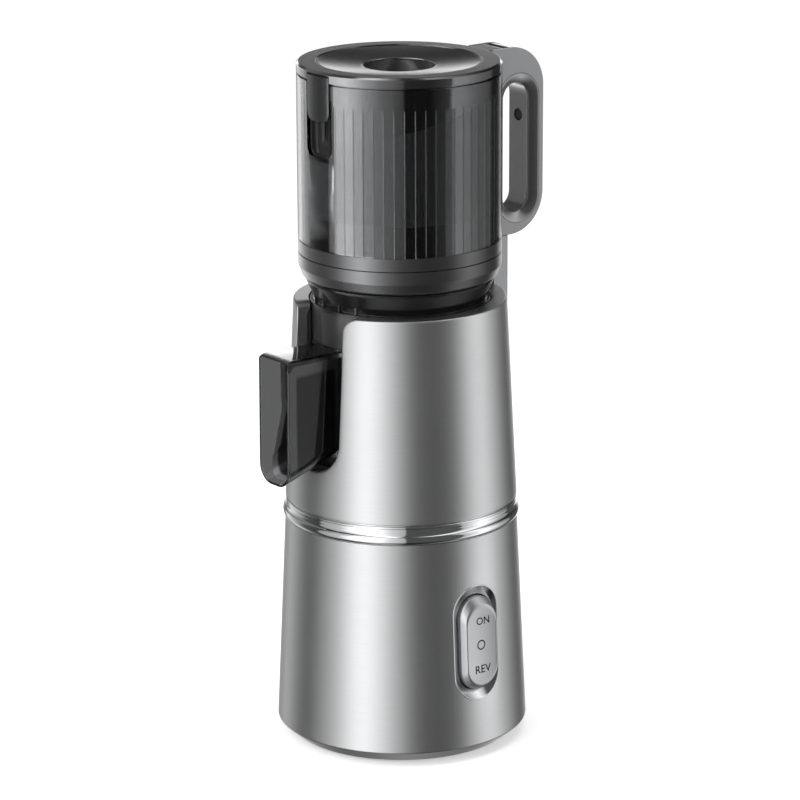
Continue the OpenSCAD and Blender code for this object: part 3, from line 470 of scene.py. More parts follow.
def brushed_group():
    """Level brush lines: a noise that changes fast with height and slowly along the surface."""
    group, source, result = new_group("Brushed lines", {"Pitch": 0.3, "Length": 12.0}, "Height")
    along, across = noise_scale(group, source["Length"]), noise_scale(group, source["Pitch"])
    stretch = add(group, "ShaderNodeCombineXYZ", {"X": along, "Y": along, "Z": across})
    scaled = add(group, "ShaderNodeVectorMath", {0: object_place(group), 1: stretch.outputs[0]},
                 operation="MULTIPLY")
    noise = add(group, "ShaderNodeTexNoise", {"Vector": scaled.outputs[0], "Scale": 1, "Detail": 2})
    group.links.new(noise.outputs["Fac"], result)
    return group


def painted_shade_inside_group():
    """Painted shade behind the drum: a mask above a slanted plane and below the drum's floor line.
    It stands in for the dark forms inside the drum, and is fixed to the drum.

    The plane passes through its height on the axis and leans with x and y.
    """
    # The mask darkens the drum as painted shade; the group's name speaks of the forms inside.
    group, source, result = new_group(
        "Shapes inside the drum",
        {"Cut height": 405.7 * MM, "Floor height": 343.5 * MM, "Softness": 0.6 * MM}, "Mask")
    lean_x, lean_y = -0.073, -0.262
    place = object_place(group)
    parts = add(group, "ShaderNodeSeparateXYZ", {0: place})
    slant = add(group, "ShaderNodeVectorMath", {0: place, 1: (lean_x, lean_y, 1)},
                operation="DOT_PRODUCT")
    over = math_node(group, "SUBTRACT", slant.outputs["Value"], source["Cut height"])
    under = math_node(group, "SUBTRACT", source["Floor height"], parts.outputs["Z"])
    soft = [math_node(group, "DIVIDE", depth, source["Softness"], clamp=True)
            for depth in (over, under)]
    group.links.new(math_node(group, "MAXIMUM", *soft), result)
    return group


GROUP_MAKERS = {
    "inside": painted_shade_inside_group, "grain": grain_group, "smudge": smudge_group,
    "edge": edge_wear_and_highlight_group, "turned": turned_group, "brushed": brushed_group,
}
GROUPS = {}


def placed_group(tree, name, **values):
    """A copy of a shared group in a material, with its own input values."""
    if name not in GROUPS:
        GROUPS[name] = GROUP_MAKERS[name]()
    return add(tree, "ShaderNodeGroup", values, node_tree=GROUPS[name]).outputs[0]


# --- Materials ---

def mixed_colour(tree, factor, first, second):
    """A mix of two colours by a factor, all of them sockets or constants."""
    mix = add(tree, "ShaderNodeMix", {"Factor": factor, "A": first, "B": second}, data_type="RGBA")
    return mix.outputs["Result"]


def node_material(name):
    """A new material with its tree and its shader."""
    material = bpy.data.materials.new(name)
    material.use_nodes = True
    return material, material.node_tree, material.node_tree.nodes["Principled BSDF"]


COAT_ROUGHNESS = 0.05
# A convex edge's colour, lighter from wear and from a painted highlight, is the finish's own times the gain plus
# the lift
WEAR_AND_HIGHLIGHT_GAIN, WEAR_AND_HIGHLIGHT_LIFT = 1.25, 0.03


def height_pattern(tree, grain, turned, brushed):
    """The relief of a finish: lathe lines, brush lines, or grain where it has neither."""
    if turned:
        return placed_group(tree, "turned", Pitch=turned)
    if brushed:
        return placed_group(tree, "brushed", Pitch=brushed)
    return placed_group(tree, "grain", Size=grain)


def surface(name, colour, roughness, *, metallic=0.0, ior=1.5, grain=0.5, bump=0.02, tone=0.05,
            smudge=0.06, edge=0.3, edge_wear_and_highlight_colour=None, coat=0.0, transmission=0.0, turned=0.0,
            brushed=0.0, inside=0.0):
    """A material with grain in its height and tone, smudges in its gloss and convex edges that are
    lighter from wear and from a painted highlight.

    grain is the grain's size in millimetres, bump its height in millimetres, tone and edge how
    much grain and the edges' wear and painted highlight shift the colour, turned the pitch of
    lathe lines and brushed the pitch of level brush lines. inside is how much Metallic rises as
    painted shade in front of the forms inside the drum, which takes the scattered light away.
    """
    material, tree, shader = node_material(name)
    for label, value in (("Metallic", metallic), ("IOR", ior), ("Coat Weight", coat),
                         ("Coat Roughness", COAT_ROUGHNESS), ("Transmission Weight", transmission)):
        shader.inputs[label].default_value = value

    height = height_pattern(tree, grain, turned, brushed)
    dark = [part * (1 - tone) for part in colour]
    light = [min(1, part * (1 + tone)) for part in colour]
    wear_and_highlight = edge_wear_and_highlight_colour or [min(1, WEAR_AND_HIGHLIGHT_GAIN * part + WEAR_AND_HIGHLIGHT_LIFT) for part in colour]
    toned = mixed_colour(tree, height, (*dark, 1), (*light, 1))
    # Convex edges get lighter: wear together with a painted highlight
    edge_wear_and_highlight = math_node(tree, "MULTIPLY", placed_group(tree, "edge"), edge)
    tree.links.new(mixed_colour(tree, edge_wear_and_highlight, toned, (*wear_and_highlight, 1)), shader.inputs["Base Color"])

    marks = math_node(tree, "MULTIPLY", placed_group(tree, "smudge"), smudge)
    tree.links.new(math_node(tree, "ADD", marks, roughness, clamp=True), shader.inputs["Roughness"])
    # Painted shade: in front of the forms inside the drum, Metallic rises and takes the scattered light away
    if inside:
        inside_shade = math_node(tree, "MULTIPLY", placed_group(tree, "inside"), inside)
        tree.links.new(math_node(tree, "ADD", inside_shade, metallic), shader.inputs["Metallic"])

    relief = add(tree, "ShaderNodeBump", {"Distance": bump * MM, "Height": height})
    tree.links.new(relief.outputs["Normal"], shader.inputs["Normal"])
    return material


# Every finish: its colour, or the name of the property that holds it, its roughness and what
# else surface() takes. A shade darkens the property's colour. The drum is dark see-through
# plastic, as gloss with a little scattered light, which painted shade takes away in front of
# the forms inside it.
FINISHES = {
    "satin_silver": dict(
        colour="silver", roughness=0.36, metallic=1.0, brushed=0.35, bump=0.0015, tone=0.06,
        smudge=0.015),
    "polished_metal": dict(
        colour=(0.80, 0.81, 0.82), roughness=0.07, metallic=1.0, grain=2.0, bump=0.0005,
        tone=0.02, smudge=0.04, edge=0.1),
    "bezel_metal": dict(
        colour=(0.68, 0.69, 0.70), roughness=0.13, metallic=1.0, grain=1.5, bump=0.0005,
        tone=0.03, smudge=0.03, edge=0.2),
    "knob_metal": dict(
        colour=(0.56, 0.57, 0.58), roughness=0.38, metallic=1.0, grain=0.4, bump=0.001,
        smudge=0.03, edge=0.4),
    "gloss_graphite": dict(
        colour="graphite", roughness=0.1, metallic=0.96, grain=1.5, bump=0.0001, tone=0.03,
        smudge=0.04, edge=0.2),
    "satin_graphite": dict(
        colour="graphite", shade=0.66, roughness=0.24, metallic=0.9, bump=0.001, tone=0.08,
        smudge=0.04, edge=0.4),
    "matte_graphite": dict(
        colour=(0.022, 0.022, 0.024), roughness=0.4, grain=0.4, bump=0.006, tone=0.2,
        smudge=0.1, edge=0.5),
    "gloss_black": dict(
        colour=(0.012, 0.012, 0.013), roughness=0.12, grain=1.5, bump=0.0005, tone=0.2, edge=0.4),
    "handle_paint": dict(
        colour=(0.30, 0.303, 0.31), roughness=0.38, metallic=0.45, grain=0.35, bump=0.003,
        tone=0.06, smudge=0.03, edge=0.6),
    "bowl_plastic": dict(
        colour=(0.05, 0.05, 0.052), roughness=0.18, metallic=0.4, grain=1.5, bump=0.0005,
        smudge=0.05),
    "pocket_plastic": dict(
        colour=(0.022, 0.022, 0.023), roughness=0.3, ior=1.4, grain=1.0, bump=0.001, tone=0.1,
        smudge=0.05, edge=0.0),
    "grip_plastic": dict(
        colour=(0.5, 0.502, 0.51), roughness=0.14, metallic=0.92, grain=1.5, bump=0.0003,
        smudge=0.03, edge=0.0),
    # Its pale edge colour paints a light highlight line along the lining's rounded edge, as well as wear
    "lining_gloss": dict(
        colour=(0.05, 0.05, 0.052), roughness=0.16, metallic=0.6, grain=1.5, bump=0.0005,
        tone=0.1, smudge=0.05, edge=0.8, edge_wear_and_highlight_colour=(0.5, 0.5, 0.51)),
    "clear_smoke": dict(
        colour="smoke", roughness=0.03, ior=1.49, grain=6.0, bump=0.001, tone=0.03, smudge=0.02,
        edge=0.0, transmission=1.0),
    # inside is the painted shade over the forms inside the drum
    "drum_smoke": dict(
        colour=(0.56, 0.565, 0.57), roughness=0.1, metallic=0.8, inside=0.2, grain=3.0,
        bump=0.0001, tone=0.03, smudge=0.02, edge=0.0),
    "spout_plastic": dict(
        colour=(0.3, 0.303, 0.308), roughness=0.02, ior=1.45, grain=6.0, bump=0.002, tone=0.04,
        smudge=0.03, edge=0.0, transmission=1.0),
    "turned_dish": dict(
        colour="dish", roughness=0.15, metallic=1.0, turned=0.35, bump=0.001, smudge=0.02),
    "machined_steel": dict(
        colour=(0.62, 0.62, 0.63), roughness=0.3, metallic=1.0, turned=0.5, bump=0.004,
        tone=0.08, smudge=0.08, edge=0.4),
    "moulded_nylon": dict(
        colour=(0.78, 0.76, 0.69), roughness=0.45, grain=0.8, bump=0.01, smudge=0.1, edge=0.2),
    "matte_rubber": dict(
        colour=(0.022, 0.022, 0.022), roughness=0.65, grain=0.25, tone=0.3, smudge=0.1, edge=0.6),
    "coated_board": dict(
        colour=(0.03, 0.14, 0.06), roughness=0.4, grain=0.6, bump=0.01, tone=0.2, smudge=0.1,
        coat=0.3),
    "plated_brass": dict(
        colour=(0.72, 0.56, 0.27), roughness=0.25, metallic=1.0, bump=0.003, tone=0.08,
        smudge=0.1),
    "switch_ink": dict(
        colour="lettering", roughness=0.6, ior=1.2, grain=0.3, bump=0.002, tone=0.2, smudge=0.05,
        edge=0.0),
}
MADE = {}


def finish(name):
    """The material of a finish, which is made when it is first asked for."""
    if name not in MADE:
        settings = dict(FINISHES[name])
        colour, shade = settings.pop("colour"), settings.pop("shade", 1.0)
        if isinstance(colour, str):
            colour = getattr(colours(), colour)
        MADE[name] = surface(name, [shade * part for part in colour], **settings)
    return MADE[name]


# The finish of each material slot, and of the nodes whose finish differs from their slot's
SLOT_FINISHES = {
    "silver": "satin_silver", "polished": "polished_metal", "knob_face": "knob_metal",
    "graphite_gloss": "gloss_graphite", "graphite_matte": "matte_graphite",
    "smoke_clear": "clear_smoke", "dish_metal": "turned_dish", "steel": "machined_steel",
    "gear_nylon": "moulded_nylon", "soft_rubber": "matte_rubber", "board_green": "coated_board",
    "contact_brass": "plated_brass",
}
NODE_FINISHES = {"rear_post": "handle_paint", "juice_bowl": "bowl_plastic"}


class JUICER_OT_carried_parts(bpy.types.Operator):
    """Give every node of the frame the finish of its material slot"""
    bl_idname = "juicer.carried_parts"
    bl_label = "Carried-over parts"

    def execute(self, context):
        for part in frame["record"]["subparts"]:
            node = frame["nodes"][part["node"]]
            node.data.materials.clear()
            name = NODE_FINISHES.get(part["node"], SLOT_FINISHES[part["material_slot"]])
            node.data.materials.append(finish(name))
        return {"FINISHED"}


# --- Base ---

class JUICER_OT_base(bpy.types.Operator):
    """Make the base housing, one turned wall with its bevel and the openings for switch and inlet"""
    bl_idname = "juicer.base"
    bl_label = "Base housing"

    wall = 2.5 * MM
    # The foot stands in from the widest place, and the lip under the wall from the foot
    foot_in = 9.2 * MM
    lip_in = 4 * MM
    lip_height = 2.5 * MM
    # The bezel's edge covers the switch's opening by this much, and the cut goes this far each way
    bezel_cover = 0.2 * MM
    cut_reach = 8 * MM

    def execute(self, context):
        body = mesh_object("base_housing", [lathe(self.section())])
        switch_hole = stadium(switch_width(), switch_height(), self.bezel_cover)
        cut_away(body, prism("switch_cutter", switch_hole, switch_place,
                             -self.cut_reach, self.cut_reach))
        foot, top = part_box("power_inlet")
        hole = box_outline(foot.x, foot.z, top.x, top.z)
        cut_away(body, prism("inlet_cutter", hole, rear_place, foot.y, top.y + self.wall))
        finish_piece(body, "housing", "satin_silver", ("base_shell", "base_skirt"))
        return {"FINISHED"}

    def section(self):
        """The wall's corners, from the lip out over the bevel to the top and down the inside."""
        edge = sizes().edge_round
        bevel_round, seam_round = 1.6 * edge, 0.5 * edge
        foot_r = BASE_R - self.foot_in
        lip_r = foot_r - self.lip_in
        lip_z = BASE_Z + self.lip_height
        inner_foot_r = foot_r - 0.4 * self.wall
        inner_bevel_z = BEVEL_Z + 0.5 * self.wall
        return rounded(
            [(lip_r, BASE_Z), (foot_r, BASE_Z), (BASE_R, BEVEL_Z), (BASE_TOP_R, RING_Z),
             (BASE_TOP_R - self.wall, RING_Z), (BASE_R - self.wall, inner_bevel_z),
             (inner_foot_r, lip_z), (lip_r, lip_z)],
            [0, edge, bevel_round, seam_round, 0, 0, 0, 0])


class JUICER_OT_ring(bpy.types.Operator):
    """Make the polished ring: a round bead, a cove above it and a thin rib under the upper housing"""
    bl_idname = "juicer.ring"
    bl_label = "Polished ring"

    def execute(self, context):
        """The section is three arcs up the outside, a crease under the housing and a plain inside."""
        bead_r, bead_z = 3.4 * MM, RING_Z + 3.1 * MM
        cove_r, cove_out, cove_z = 3.0 * MM, 1.1 * MM, RING_Z + 8.3 * MM
        rib_r, rib_in, rib_z = 0.9 * MM, 0.2 * MM, SHELL_Z - 1.7 * MM
        crease_r, crease_z = SHELL_R - 1.4 * MM, SHELL_Z - 0.5 * MM
        inner_r, foot_r = SHELL_R - 2.5 * MM, RING_R - 2.2 * MM
        profile = np.concatenate([
            arc((RING_R - bead_r, bead_z), bead_r, -62, 58, 14),
            arc((RING_R + cove_out, cove_z), cove_r, 238, 165, 8),
            arc((SHELL_R - rib_in - rib_r, rib_z), rib_r, -60, 90, 8),
            [(crease_r, crease_z), (crease_r, SHELL_Z)],
            [(inner_r, SHELL_Z), (inner_r, RING_Z), (foot_r, RING_Z)]])
        ring = creased(mesh_object("ring_trim", [lathe(profile, FINE_SIDES)]))
        finish_piece(ring, "housing", "polished_metal", ("chrome_ring",))
        return {"FINISHED"}


# --- Walls with an opening ---

class Opening:
    """An opening at -Y that is cut down from a wall's top edge, in (x, z).

    Its sides are upright, its floor's corners are arcs, and its mouth flares out in two arcs.
    radius gives the wall's radius at a height, half is half the opening's width, cols the
    columns of the grid round the back and flats the points across the floor.
    """

    mouth_steps, side_steps, corner_steps = 8, 12, 10

    def __init__(self, radius, half, floor, corner, mouth, top, cols=150, flats=6):
        self.radius, self.half, self.floor, self.corner = radius, half, floor, corner
        self.mouth, self.top, self.cols, self.flats = mouth, top, cols, flats

    def side(self, inset):
        """The right side in (x, z) from the top to the floor, moved inset into the wall."""
        mouth_z, corner_z = self.top - self.mouth, self.floor + self.corner
        mouth = arc((self.half + self.mouth, mouth_z), self.mouth - inset, 90, 180, self.mouth_steps)
        heights = np.linspace(mouth_z, corner_z, self.side_steps)[1:-1]
        straight = np.stack([np.full(len(heights), self.half + inset), heights], axis=1)
        foot = arc((self.half - self.corner, corner_z), self.corner + inset, 0, -90, self.corner_steps)
        return np.concatenate([mouth, straight, foot])

    def side_turn(self, inset):
        """Turn from -Y and height of each point of the side."""
        x, z = self.side(inset).T
        return np.arcsin(x / self.radius(z)), z

    def floor_turn(self, inset):
        """Turns across the floor, from its right end to its left end, without both ends."""
        reach = self.half - self.corner
        x = np.linspace(reach, -reach, self.flats + 2)[1:-1]
        return np.arcsin(x / self.radius(self.floor - inset))

    def loop(self, inset):
        """The closed edge: down the right side, over the floor, up the left, round the back."""
        turn, z = self.side_turn(inset)
        floor = self.floor_turn(inset)
        back = np.linspace(TAU - turn[0], turn[0], self.cols + 1)[1:-1]
        turns = np.concatenate([turn, floor, -turn[::-1], back])
        heights = np.concatenate([z, np.full(len(floor), self.floor - inset), z[::-1],
                                  np.full(len(back), self.top - inset)])
        return turns, heights

    def wall(self, inset, depth):
        """The grid beside the opening: each row runs round the back from side to side."""
        turn, z = self.side_turn(inset)
        share = np.linspace(0, 1, self.cols + 1)
        turns = turn[:, None] + (TAU - 2 * turn[:, None]) * share
        return self.points(turns, np.broadcast_to(z[:, None], turns.shape), depth)

    def band(self, inset, rows):
        """The closed rings under the opening: rows are (depth, height) pairs from its floor down."""
        turn, z = self.side_turn(inset)
        around = np.linspace(turn[-1], TAU - turn[-1], self.cols + 1)
        turns = np.concatenate([around, TAU - self.floor_turn(inset)])
        depths, heights = np.asarray(rows).T
        shape = (len(heights), len(turns))
        return self.points(np.broadcast_to(turns, shape), np.broadcast_to(heights[:, None], shape),
                           depths[:, None])

    def points(self, turns, heights, depth):
        """Places on the wall at a turn from -Y and a height, moved in towards the axis by depth."""
        reach = self.radius(heights) - depth
        return np.stack([reach * np.sin(turns), -reach * np.cos(turns), heights], axis=-1)


def edge_profile(outer, inner, wall):
    """(inset, depth) pairs of a rounded edge, from the outer face to the inner face."""
    out = np.radians(np.linspace(0, 90, EDGE_STEPS + 1))
    first = np.stack([outer * (1 - np.sin(out)), outer * (1 - np.cos(out))], axis=1)
    last = np.stack([inner * (1 - np.cos(out)), wall - inner * (1 - np.sin(out))], axis=1)
    return np.concatenate([first, last])


class JUICER_OT_upper_housing(bpy.types.Operator):
    """Make the upper housing, whose outer face rolls over the rim and into the front notch"""
    bl_idname = "juicer.upper_housing"
    bl_label = "Upper housing"

    wall = 1.1 * MM
    # How far the wall turns in under its foot, and the rows of the band under the notch
    foot_in = 2 * MM
    band_rows = 12
    # Radius that rolls the edge into the liner
    liner_round = 0.8 * MM
    # Gap between the bowl and the liner at the rim
    liner_gap = 0.8 * MM

    def execute(self, context):
        notch = Opening(shell_radius, half=23 * MM, floor=SHELL_Z + 27.7 * MM, corner=20 * MM,
                        mouth=9.5 * MM, top=RIM_Z)
        roll, edge = sizes().notch_round, sizes().edge_round
        rim = self.rolled_edge(notch, roll)
        wall = grid(notch.wall(roll, 0), flip=True)
        foot = edge_profile(edge, 0, self.foot_in)[1:EDGE_STEPS + 1]
        rows = [(0, z) for z in np.linspace(notch.floor - roll, SHELL_Z + edge, self.band_rows)]
        rows += [(depth, SHELL_Z + rise) for rise, depth in foot]
        rows.append((self.foot_in, SHELL_Z))
        band = grid(notch.band(roll, rows), wrap_cols=True, flip=True)
        body = solidified(mesh_object("upper_housing", [wall, band, rim]), self.wall)
        finish_piece(body, "housing", "satin_silver", ("upper_shell", "shell_rim"))
        return {"FINISHED"}

    def rolled_edge(self, notch, roll):
        """The edge's rounded section carried round the rim and through the notch.

        On the rim its depth runs towards the axis, in the notch straight back, and through the
        mouth's arcs it turns from one to the other. It ends at the liner.
        """
        liner_top_r = BOWL_R + self.liner_gap
        rows = []
        for inset, depth in self.section(roll, self.liner_round):
            turns, heights = notch.loop(inset)
            start = notch.points(turns, heights, 0)
            share = np.clip((heights - notch.top + notch.mouth) / (notch.mouth - inset), 0, 1)
            share = (share * share * (3 - 2 * share))[:, None]
            radial = np.stack([-np.sin(turns), np.cos(turns)], axis=1)
            way = share * radial + (1 - share) * np.array([0, 1])
            way /= np.linalg.norm(way, axis=1, keepdims=True)
            end_r = LINER_R + share[:, 0] * (liner_top_r - LINER_R)
            along = np.sum(start[:, :2] * way, axis=1)
            reach = -along - np.sqrt(along ** 2 - np.sum(start[:, :2] ** 2, axis=1) + end_r ** 2)
            length = depth if depth >= 0 else reach + depth
            start[:, :2] += way * np.broadcast_to(length, reach.shape)[:, None]
            rows.append(start)
        return grid(np.stack(rows), wrap_cols=True, flip=True)

    def section(self, roll, back):
        """(inset, depth) pairs: a depth under 0 is measured back from the liner."""
        short = 0.001 * MM
        turns = np.radians(np.linspace(0, 90, 7))
        first = [(roll * (1 - math.sin(a)), roll * (1 - math.cos(a))) for a in turns]
        flat = [(0, roll + GUARD), (0, -back - GUARD)]
        last = [(back * (1 - math.cos(a)), -back * (1 - math.sin(a)) - short) for a in turns]
        return first + flat + last + [(2 * back, -short)]


class JUICER_OT_hopper(bpy.types.Operator):
    """Make the clear hopper with its latch slot, the ribbed drum inside it and the latch's pocket"""
    bl_idname = "juicer.hopper"
    bl_label = "Hopper and drum"

    edge = 0.5 * MM
    wall = 2.6 * MM
    drum_wall = 1.4 * MM
    pocket_wall = 0.6 * MM
    # Rows of the wall under the slot
    band_rows = 12
    # Side gap between the tab and its slot, and how far the pocket reaches below the slot
    tab_gap = 0.8 * MM
    pocket_sill = 4 * MM
    # The slot's rounded foot and mouth
    slot_corner, slot_mouth = 6 * MM, 1.2 * MM
    # The drum's ridges: half a ridge's share of the pitch, its height and the first one's turn
    ridge_share, ridge_out, first_ridge = 0.045, 0.13 * MM, math.radians(1)

    def execute(self, context):
        slot = Opening(
            hopper_radius, half=high("latch_tab").x + self.tab_gap,
            floor=low("latch_pocket").z + self.pocket_sill, corner=self.slot_corner,
            mouth=self.slot_mouth, top=HOPPER_TOP_Z, cols=180)
        section = edge_profile(self.edge, self.edge, self.wall)
        rim = [slot.points(*slot.loop(inset), depth) for inset, depth in section]
        foot_z = BAND_TOP_Z + 0.1 * MM
        heights = np.linspace(slot.floor - self.edge, foot_z + 2 * self.edge, self.band_rows)
        rows = [(0, z) for z in heights]
        rows += [(depth, foot_z + rise) for rise, depth in section]
        rows += [(self.wall, z) for z in heights[::-1]]
        wall = mesh_object("hopper_wall", [
            grid(slot.wall(self.edge, 0), flip=True),
            grid(slot.wall(self.edge, self.wall)),
            grid(np.stack(rim), wrap_cols=True, flip=True),
            grid(slot.band(self.edge, rows), wrap_cols=True, flip=True)])
        finish_piece(wall, "hopper_unit", "clear_smoke", ("hopper",))
        self.drum(slot)
        self.sleeve()
        self.pocket(slot)
        return {"FINISHED"}

    def drum(self, slot):
        """The drum: flat facets of equal width with a fine ridge between each two.

        A facet's radius is the drum's inner circle over the cosine of the turn from its middle.
        In front, under the latch, the drum is a smooth strip that is open above the pocket.
        """
        drum_r, top = high("ribbed_drum").x, high("ribbed_drum").z
        foot, strip_top = BAND_TOP_Z + 0.2 * MM, slot.floor - 3.4 * MM
        strip_half, strip_points = slot.half + 1.2 * MM, 13
        count = sizes().drum_ribs
        pitch = TAU / count
        steps = np.array([-1, 0, 1]) * self.ridge_share * pitch
        turns = (self.first_ridge + pitch * np.arange(count)[:, None] + steps).ravel()
        step = np.tile(steps, count)
        from_middle = 0.5 * pitch - np.abs(step)
        radius = drum_r * math.cos(0.5 * pitch) / np.cos(from_middle) + self.ridge_out * (step == 0)
        half_gap = math.asin(strip_half / drum_r)
        ribbed = (turns > half_gap) & (turns < TAU - half_gap)
        strip = self.flat_points(drum_r, np.linspace(-half_gap, half_gap, strip_points))
        facets = np.concatenate([
            strip[:, -1:], self.flat_points(radius[ribbed], turns[ribbed]), strip[:, :1]], axis=1)
        drum = mesh_object("ribbed_sleeve", [grid(self.upright(facets, foot, top))], smooth=False)
        solidified(drum, self.drum_wall)
        finish_piece(drum, "hopper_unit", "drum_smoke", ("ribbed_drum",))
        front = mesh_object("front_strip", [grid(self.upright(strip, foot, strip_top))])
        solidified(front, self.drum_wall)
        finish_piece(front, "hopper_unit", "drum_smoke")

    def flat_points(self, radius, turns):
        """Points in (x, y) at a radius and a turn from -Y."""
        return np.stack([radius * np.sin(turns), -radius * np.cos(turns)])

    def upright(self, flat, low_z, high_z):
        """Two rows of points: the same flat ones at the lower and at the higher height."""
        return np.stack([np.vstack([flat, np.full(flat.shape[1], z)]).T for z in (low_z, high_z)])

    def sleeve(self):
        """The thin smooth band between the drum and the hopper's top edge."""
        out_r, thickness = HOPPER_R - 2.9 * MM, 0.25 * MM
        foot, top = high("ribbed_drum").z - 1.5 * MM, HOPPER_TOP_Z - 0.6 * MM
        band = box_outline(out_r - thickness, foot, out_r, top)
        sleeve = creased(mesh_object("upper_sleeve", [lathe(band, FINE_SIDES)]))
        finish_piece(sleeve, "hopper_unit", "drum_smoke")

    def pocket(self, slot):
        """The latch's pocket: the slot's outline carried inwards, rounded into a closed back.

        Each layer is how far the outline moves in, and its depth behind the hopper's face.
        """
        half, foot_z, top_z = slot.half, slot.floor, high("latch_pocket").z - 1.8 * MM
        near, deep, back_round, lip = 2.75 * MM, 6.5 * MM, 2.5 * MM, 0.6 * MM
        tight, least = 0.1 * MM, 0.2 * MM
        turns = np.radians(np.linspace(0, 90, 6))
        layers = [(-lip, near), (0, near), (0, deep - back_round)]
        layers += [(back_round * (1 - math.cos(a)), deep - back_round * (1 - math.sin(a)))
                   for a in turns]
        layers += [(0.5 * half, deep), (half - 0.5 * MM, deep)]
        rows = []
        for inset, depth in layers:
            reach = half - inset
            corner = min(max(slot.corner - inset, least), 0.98 * reach)
            corner_z, tight_z = foot_z + inset + corner, top_z - inset
            outline = np.concatenate([
                arc((reach - corner, corner_z), corner, -90, 0, 10),
                arc((reach - tight, tight_z), tight, 0, 90, 2),
                arc((tight - reach, tight_z), tight, 90, 180, 2),
                arc((corner - reach, corner_z), corner, 180, 270, 10)])
            rows.append(slot.points(np.arcsin(outline[:, 0] / HOPPER_R), outline[:, 1], depth))
        pocket = mesh_object("latch_well", [grid(np.stack(rows), wrap_cols=True)])
        solidified(pocket, self.pocket_wall)
        finish_piece(pocket, "hopper_unit", "pocket_plastic", ("latch_pocket",))


# --- Rings between housing and hopper ---

class JUICER_OT_collars(bpy.types.Operator):
    """Make the hopper's dark ring with its funnel, and the bowl's neck under it"""
    bl_idname = "juicer.collars"
    bl_label = "Hopper ring and bowl neck"

    edge = 0.7 * MM
    foot_r = HOPPER_R - 2.1 * MM
    neck_r = BOWL_R - 2.3 * MM

    def execute(self, context):
        collar = creased(mesh_object("hopper_collar", [lathe(self.ring_section())]), 60)
        finish_piece(collar, "hopper_unit", "satin_graphite", ("hopper_ring",))
        shoulder_z = NECK_Z + 2.4 * MM
        parts = [lathe(self.neck_section(shoulder_z)), *self.bayonet_ribs(shoulder_z)]
        neck = creased(mesh_object("bowl_collar", parts))
        finish_piece(neck, "bowl", "gloss_black", ("bowl_neck",))
        return {"FINISHED"}

    def ring_section(self):
        """The ring's corners: up the outside with a groove at the hopper's foot, down the funnel."""
        edge, foot_r, neck_r = self.edge, self.foot_r, self.neck_r
        bore_r = neck_r + FIT_GAP
        bevel = 1.2 * MM
        waist_z = HOPPER_Z - 8 * MM
        groove = 0.35 * MM
        groove_r = HOPPER_R - 5 * groove
        groove_foot, groove_top = HOPPER_Z - groove, HOPPER_Z + groove
        funnel_r, throat_r = HOPPER_R - 5.2 * MM, neck_r - 2 * MM
        floor_z = high("bowl_neck").z + FIT_GAP
        return rounded(
            [(bore_r, HOPPER_RING_Z), (foot_r - bevel, HOPPER_RING_Z), (foot_r, HOPPER_RING_Z + bevel),
             (HOPPER_R, waist_z), (HOPPER_R, groove_foot), (groove_r, groove_foot),
             (groove_r, groove_top), (HOPPER_R, groove_top), (HOPPER_R, BAND_TOP_Z),
             (funnel_r, BAND_TOP_Z), (throat_r, floor_z), (bore_r, floor_z)],
            edge * np.array([0.3, 1, 1, 4, 0.1, 0, 0, 0.1, 0.2, 1, 0.5, 0]))

    def neck_section(self, shoulder_z):
        """The neck's corners: a shoulder on the bowl, a cone up to the ring and a plain inside."""
        neck_r, wall = self.neck_r, 2.4 * MM
        cone_r, cone_top = self.foot_r - 2.4 * MM, HOPPER_RING_Z - 0.8 * MM
        cone_edge = cone_top - 1.5 * MM
        flare, flare_z = 0.4 * MM, shoulder_z + 3 * MM
        neck_top = high("bowl_neck").z
        return rounded(
            [(neck_r - wall, NECK_Z), (BOWL_R, NECK_Z), (BOWL_R, shoulder_z),
             (neck_r - flare, shoulder_z), (neck_r + flare, flare_z), (cone_r, cone_edge),
             (cone_r, cone_top), (neck_r, cone_top), (neck_r, neck_top), (neck_r - wall, neck_top)],
            self.edge * np.array([0, 0, 1, 1, 2, 2, 0.5, 0, 0.5, 0.5]))

    def bayonet_ribs(self, shoulder_z):
        """The upright ribs on the neck, as plain blocks at four turns from the front."""
        half, reach = 0.7 * MM, 1 * MM
        foot, top = shoulder_z - 0.2 * MM, HOPPER_RING_Z - 1 * MM
        outline = box_outline(-half, -self.neck_r - reach, half, -self.neck_r + reach)
        ribs = []
        for turn in np.radians((-22, -8.5, 8.5, 22)):
            turned = outline @ np.array([[math.cos(turn), math.sin(turn)],
                                         [-math.sin(turn), math.cos(turn)]])
            loops = np.stack([np.column_stack([turned, np.full(4, z)]) for z in (foot, top)])
            ribs.append(grid(loops, wrap_cols=True))
        return ribs


# --- Lid ---

